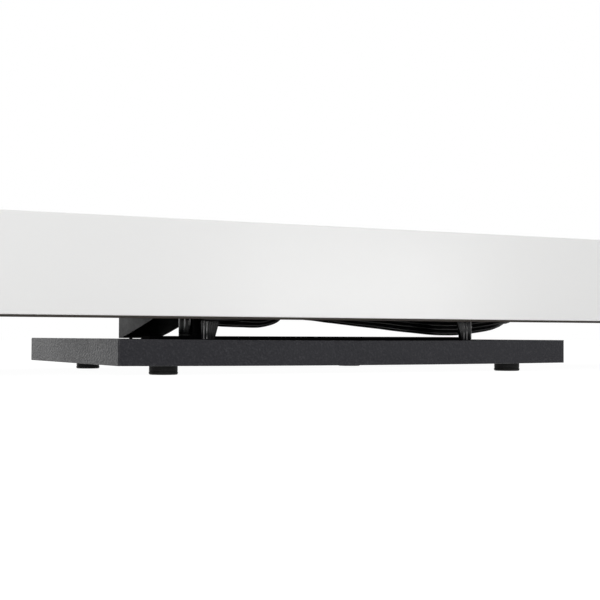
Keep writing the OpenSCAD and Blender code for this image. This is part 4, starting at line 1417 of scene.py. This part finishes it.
class Body:
    """The white case round the keyboard."""

    def __init__(self, shop: Workshop) -> None:
        """Args: shop: the workshop that makes the pieces."""
        self.shop = shop

    def build(self) -> None:
        """Makes the shell's pieces."""
        shop = self.shop
        shop.softened("rear_apron", 0.5 * MM, 3, cuts=(-520,))
        shop.softened("apron_edge_strip", 0.25 * MM)
        shop.softened("top_case", 0.35 * MM, 2, cuts=(-545, -395, -365, -345, -335, 0, 345, 545))
        shop.softened("left_cheek", 1.2 * MM, 3)
        shop.softened("right_cheek", 1.2 * MM, 3)
        shop.softened("key_slip", 0.3 * MM)
        shop.softened("key_blocks", 0.8 * MM, 3)
        holes = (-620, -600, -420, -360, -270, -210, -156, -80, 0, 36, 56, 80, 99.5, 152, 156, 178, 210,
                 360, 420, 600, 620)
        shop.softened("bottom_pan", 0.2 * MM, 1, flat_highlight=0.0, cuts=holes)
        shop.dress("rear_cleat")
        self._pan_screws()
        self._grommets()

    def _pan_screws(self) -> None:
        """Screws under the bottom pan."""
        low, high = size_of("bottom_pan")
        seat, back, front = low[2], high[1] - 8 * MM, -128 * MM
        spots = [(x * MM, back, seat) for x in (-620, -420, -210, 0, 210, 420, 620)]
        spots += [(x * MM, front, seat) for x in (-600, -360, -80, 80, 360, 600)]
        head = Screw(11 * MM)
        self.shop.piece("pan_screw_set", merged(head.shape(s, False) for s in spots), "pan_screws")

    def _grommets(self) -> None:
        """Soft rubber rings where the looms go through the pan."""
        low, high = size_of("bottom_pan")
        z, t = low[2], high[2] - low[2]
        parts = []
        for x, y, _, r in (end for loom in looms() for end in (loom.route[0], loom.route[-1])):
            inner, outer, lip = r + 0.3 * MM, r + 2.9 * MM, r + 4.4 * MM
            profile = [(inner, -1.1 * MM), (inner + 0.4 * MM, -1.5 * MM), (lip - 0.5 * MM, -1.5 * MM),
                       (lip, -1.1 * MM), (lip, -0.3 * MM), (lip - 0.3 * MM, 0.0), (outer, 0.0),
                       (outer, t + 1.2 * MM), (outer - 0.5 * MM, t + 1.5 * MM), (inner, t + 1.5 * MM)]
            verts, _ = turned(profile, (x, y, z), 48)
            parts.append(ring_stack(verts.reshape(len(profile), 48, 3), capped=False, closed=True))
        self.shop.piece("grommet_set", merged(parts), "loom_grommets")


class Controls:
    """Knob, buttons, music rest, speakers and the electronics behind them."""

    def __init__(self, shop: Workshop) -> None:
        """Args: shop: the workshop that makes the pieces."""
        self.shop = shop

    def build(self) -> None:
        """Makes and dresses the pieces."""
        shop = self.shop
        self._knob()
        for node in ("button_1", "button_2", "button_3"):
            shop.softened(node, 0.5 * MM, 3)
        self._power()
        shop.softened("music_rest", 0.9 * MM, 3, slot="ebony_plastic")
        self._grilles()
        self._sockets()
        for node in ("control_board", "rest_pins", "main_board", "speaker_baskets", "speaker_cones",
                     "speaker_magnets"):
            shop.dress(node)

    def _sockets(self) -> None:
        """Grey jack plate, black sockets with bright round nuts, and the power inlet with its pin."""
        shop, bores, inlet = self.shop, (-575, -552, -529, -506), -470
        shop.softened("jack_plate", 0.3 * MM, slot="frame_plastic", cuts=(*bores, inlet))
        low, high = size_of("jacks")
        face, z = high[1] - 1 * MM, (low[2] + high[2]) / 2

        def ahead(data: MeshData, x: float, y: float) -> MeshData:
            """Turns a shape that stands along +Z to look along +Y at the sockets' height."""
            v = data[0]
            return np.column_stack([x + v[:, 0], y + v[:, 2], z - v[:, 1]]), data[1]

        profile = [(3.4, 0.05), (6.3, 0.05), (6.6, 0.35), (6.6, 1.4), (6.3, 1.7), (3.8, 1.7), (3.4, 1.3)]
        verts, _ = turned([(r * MM, h * MM) for r, h in profile], (0.0, 0.0, 0.0), 48)
        nut = ring_stack(verts.reshape(len(profile), 48, 3), capped=False, closed=True)
        shop.softened("jacks", 0.25 * MM, slot="ebony_plastic", cuts=bores)
        shop.piece("jack_nuts", merged(ahead(nut, x * MM, face) for x in bores), "jacks",
                   replaces=False, slot="zinc_steel")
        low, high = size_of("dc_inlet")
        shop.softened("dc_inlet", 0.25 * MM, slot="ebony_plastic", cuts=(inlet,))
        pin = turned([(0.4 * MM, 0.0), (0.9 * MM, 0.0), (0.9 * MM, 9.6 * MM), (0.5 * MM, 10.4 * MM),
                      (0.1 * MM, 10.5 * MM)], (0.0, 0.0, 0.0), 24)
        shop.piece("inlet_pin", ahead(pin, (low[0] + high[0]) / 2, face - 11.5 * MM), "dc_inlet",
                   replaces=False, slot="zinc_steel")

    def _grilles(self) -> None:
        """Speaker grilles: 26 rounded bars each, between two rails and two end panels."""
        low, high = size_of("speaker_grilles")
        wide, middle = 179.4 * MM, (low[1] + high[1]) / 2
        z0, z1, parts = low[2], high[2], []

        def bar(x0: float, x1: float, y0: float, y1: float, top: float, soft: float) -> None:
            """Adds one bar, rail or panel."""
            outline = rounded_outline([(x0, y0), (x1, y0), (x1, y1), (x0, y1)], [0.7 * MM] * 4, 3)
            parts.append(slab(outline, z0, top, 0.0, soft, 3))

        for left in (low[0], high[0] - wide):
            centre, right = left + wide / 2, left + wide
            for i in range(-13, 13):
                x = centre + (6 * i + 1) * MM
                bar(x, x + 4 * MM, middle - 18 * MM, middle + 18 * MM, z1 - 0.35 * MM, 0.6 * MM)
            bar(left, right, low[1], middle - 17 * MM, z1, 0.4 * MM)
            bar(left, right, middle + 17 * MM, high[1], z1, 0.4 * MM)
            bar(left, centre - 79 * MM, low[1] + 1 * MM, high[1] - 1 * MM, z1 - 0.05 * MM, 0.4 * MM)
            bar(centre + 79 * MM, right, low[1] + 1 * MM, high[1] - 1 * MM, z1 - 0.05 * MM, 0.4 * MM)
        self.shop.piece("grille_bars", merged(parts), "speaker_grilles")

    def _knob(self) -> None:
        """Volume knob: fluted skirt, dished top and a raised pointer."""
        low, high = size_of("volume_knob")
        x, y = (low[0] + high[0]) / 2, (low[1] + high[1]) / 2
        top = high[2]
        foot = top - 6 * MM
        sides = 180
        a = np.linspace(0, 2 * math.pi, sides, endpoint=False)
        flute = 0.5 * (1 + np.cos(30 * a))
        rows = [(3.0, low[2], 0.0), (3.0, foot, 0.0), (12.2, foot, 0.0), (12.9, foot + 0.4 * MM, 0.0),
                (13.0, foot + 1.0 * MM, 0.0), (12.8, foot + 1.3 * MM, 0.4), (12.5, top - 1.2 * MM, 0.4),
                (12.1, top - 0.5 * MM, 0.3), (11.4, top - 0.1 * MM, 0.1), (10.8, top, 0.0),
                (10.2, top - 0.15 * MM, 0.0), (6.0, top - 0.5 * MM, 0.0), (1.0, top - 0.6 * MM, 0.0)]
        rings = []
        for q, z, d in rows:
            reach = (q - d * flute) * MM
            rings.append(np.column_stack([x + reach * np.cos(a), y + reach * np.sin(a), np.full(sides, z)]))
        x0, x1, y0, y1 = x - 0.6 * MM, x + 0.6 * MM, y + 5.5 * MM, y + 10.0 * MM
        pointer = rounded_outline([(x0, y0), (x1, y0), (x1, y1), (x0, y1)], [0.5 * MM] * 4, 3)
        self.shop.piece("volume_dial", merged([ring_stack(np.array(rings))]), "volume_knob", crease=50.0)
        self.shop.piece("volume_pointer", slab(pointer, top - 0.8 * MM, top - 0.05 * MM, 0.0, 0.15 * MM, 2),
                        "volume_knob", replaces=False, slot="white_case")

    def _power(self) -> None:
        """Round power button with a dished cap."""
        low, high = size_of("power_button")
        x, y = (low[0] + high[0]) / 2, (low[1] + high[1]) / 2
        foot, top = low[2], high[2]
        profile = [(1.0, foot), (7.3, foot), (7.5, foot + 0.2 * MM), (7.5, foot + 1.6 * MM),
                   (7.3, foot + 1.8 * MM), (6.0, foot + 1.8 * MM), (6.0, top - 0.5 * MM),
                   (5.85, top - 0.15 * MM), (5.5, top), (5.1, top - 0.05 * MM), (3.0, top - 0.35 * MM),
                   (0.6, top - 0.45 * MM)]
        cap = turned([(q * MM, z) for q, z in profile], (x, y, 0.0), 72)
        self.shop.piece("power_cap", cap, "power_button")


# --------------------------------------------------------------------------------------------------
# Studio


@dataclass(frozen=True)
class ViewPoint:
    """The camera.

    Attributes:
        place: its position.
        turn: heading of the view from -Y towards -X, in degrees.
        pitch: how far it looks up.
        roll: how far it leans.
        lens: focal length in millimetres on a 36 mm sensor.
    """

    place: Point = (0.66884, 1.28889, 0.03999)
    turn: float = 27.608
    pitch: float = 1.61
    roll: float = 0.2521
    lens: float = 74.87

    def build(self) -> bpy.types.Object:
        """Makes the camera and gives it to the scene.

        Returns:
            The camera object.
        """
        a, p, q = (math.radians(v) for v in (self.turn, self.pitch, self.roll))
        ahead = Vector((-math.sin(a) * math.cos(p), -math.cos(a) * math.cos(p), math.sin(p)))
        level = Vector((-math.cos(a), math.sin(a), 0.0))
        above = level.cross(ahead)
        right = math.cos(q) * level + math.sin(q) * above
        up = -math.sin(q) * level + math.cos(q) * above
        data = bpy.data.cameras.new("view_camera")
        data.lens = self.lens
        data.sensor_width = 36.0
        data.clip_start, data.clip_end = 0.01, 100.0
        camera = bpy.data.objects.new("view_camera", data)
        bpy.context.scene.collection.objects.link(camera)
        camera.matrix_world = Matrix((right, up, -ahead)).transposed().to_4x4()
        camera.location = self.place
        bpy.context.scene.camera = camera
        return camera


@dataclass(frozen=True)
class SoftBox:
    """A rectangular studio light.

    Attributes:
        name: object name.
        place: its position.
        target: the point that it faces.
        size: width and height.
        power: watts.
    """

    name: str
    place: Point
    target: Point
    size: tuple[float, float]
    power: float

    def build(self) -> None:
        """Makes the light."""
        data = bpy.data.lights.new(self.name, "AREA")
        data.shape = "RECTANGLE"
        data.size, data.size_y = self.size
        data.energy = self.power
        light = bpy.data.objects.new(self.name, data)
        light.location = self.place
        light.rotation_mode = "QUATERNION"
        light.rotation_quaternion = (Vector(self.target) - Vector(self.place)).to_track_quat("-Z", "Y")
        bpy.context.scene.collection.objects.link(light)


def seen_directly(tree: bpy.types.NodeTree, path: bpy.types.Node) -> object:
    """Whether a ray comes from the camera, from a reflection or through glass.

    Args:
        tree: the node tree.
        path: its Light Path node.

    Returns:
        A socket that is 1 for such a ray.
    """
    desk = NodeDesk(tree)
    either = desk.math("MAXIMUM", path.outputs["Is Camera Ray"], path.outputs["Is Glossy Ray"])
    return desk.math("MAXIMUM", either, path.outputs["Is Transmission Ray"])


class Studio:
    """White surroundings, a pale floor that takes soft shadows, and the lights.

    Attributes:
        ambient: strength of the surroundings as a light.
        floor_grey: how much light the floor throws back.
        floor_glow: strength of the floor's own white.
        glow_share: how much of that white is mixed in for the camera and reflections.
        floor_half: half the floor's side.
    """

    ambient = 0.5
    floor_grey = 0.88
    floor_glow = 1.13
    glow_share = 0.86
    floor_half = 6.0

    def build(self) -> None:
        """Makes floor, surroundings and lights."""
        self._world()
        self._floor()
        for box in (SoftBox("left_box", (1.9, 1.91, 0.7), (0.177, 0.093, 0.7), (0.8, 1.6), 18),
                    SoftBox("right_box", (-1.4, 2.6, 0.1), (0.0, 0.153, 0.09), (0.8, 0.5), 8),
                    SoftBox("front_box", (1.0, -2.6, 0.5), (0.27, 0.0, 0.03), (1.2, 1.0), 5),
                    SoftBox("rear_box", (-0.6, 3.2, 1.9), (0.0, 0.1, 0.1), (3.0, 1.6), 11.5),
                    SoftBox("top_box", (0.0, -0.3, 3.0), (0.0, 0.0, 0.1), (3.0, 2.0), 14)):
            box.build()

    def _world(self) -> None:
        """White for the camera and in reflections, a softer grey as a light."""
        world = bpy.data.worlds.new("studio_world")
        world.use_nodes = True
        tree = world.node_tree
        tree.nodes.clear()
        path = tree.nodes.new("ShaderNodeLightPath")
        seen = tree.nodes.new("ShaderNodeBackground")
        light = tree.nodes.new("ShaderNodeBackground")
        mix = tree.nodes.new("ShaderNodeMixShader")
        out = tree.nodes.new("ShaderNodeOutputWorld")
        seen.inputs["Color"].default_value = (1.0, 1.0, 1.0, 1.0)
        light.inputs["Color"].default_value = (1.0, 1.0, 1.0, 1.0)
        light.inputs["Strength"].default_value = self.ambient
        tree.links.new(seen_directly(tree, path), mix.inputs[0])
        tree.links.new(light.outputs[0], mix.inputs[1])
        tree.links.new(seen.outputs[0], mix.inputs[2])
        tree.links.new(mix.outputs[0], out.inputs["Surface"])
        bpy.context.scene.world = world

    def _floor(self) -> None:
        """A pale floor: matt for light, mostly white of its own for the camera, and clear from below."""
        h = self.floor_half
        mesh = bpy.data.meshes.new("floor")
        mesh.from_pydata([(-h, -h, 0), (h, -h, 0), (h, h, 0), (-h, h, 0)], [], [(0, 1, 2, 3)])
        floor = bpy.data.objects.new("floor", mesh)
        bpy.context.scene.collection.objects.link(floor)
        material = bpy.data.materials.new("floor_white")
        material.use_nodes = True
        tree = material.node_tree
        tree.nodes.clear()
        path = tree.nodes.new("ShaderNodeLightPath")
        matt = tree.nodes.new("ShaderNodeBsdfDiffuse")
        glow = tree.nodes.new("ShaderNodeEmission")
        mix = tree.nodes.new("ShaderNodeMixShader")
        part = tree.nodes.new("ShaderNodeMath")
        out = tree.nodes.new("ShaderNodeOutputMaterial")
        matt.inputs["Color"].default_value = (self.floor_grey, self.floor_grey, self.floor_grey, 1.0)
        glow.inputs["Strength"].default_value = self.floor_glow
        part.operation = "MULTIPLY"
        part.inputs[1].default_value = self.glow_share
        tree.links.new(seen_directly(tree, path), part.inputs[0])
        tree.links.new(part.outputs[0], mix.inputs[0])
        tree.links.new(matt.outputs[0], mix.inputs[1])
        tree.links.new(glow.outputs[0], mix.inputs[2])
        below = tree.nodes.new("ShaderNodeMixShader")
        tree.links.new(tree.nodes.new("ShaderNodeNewGeometry").outputs["Backfacing"], below.inputs[0])
        tree.links.new(mix.outputs[0], below.inputs[1])
        tree.links.new(tree.nodes.new("ShaderNodeBsdfTransparent").outputs[0], below.inputs[2])
        tree.links.new(below.outputs[0], out.inputs["Surface"])
        mesh.materials.append(material)


def main() -> None:
    """Builds camera, leads, stand, body, keyboard and controls on the frame."""
    logging.basicConfig(level=logging.INFO, format="%(name)s: %(message)s")
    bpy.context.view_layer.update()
    ViewPoint().build()
    bpy.context.scene.view_settings.view_transform = "Standard"
    shop = Workshop(frame)
    for loom in looms():
        loom.build(shop)
    Stand(shop).build()
    Body(shop).build()
    Keyboard().build(shop)
    Controls(shop).build()
    Studio().build()
    for node in sorted(set(shop.nodes) - shop.done):
        shop.dress(node)


if __name__ == "__main__":
    main()
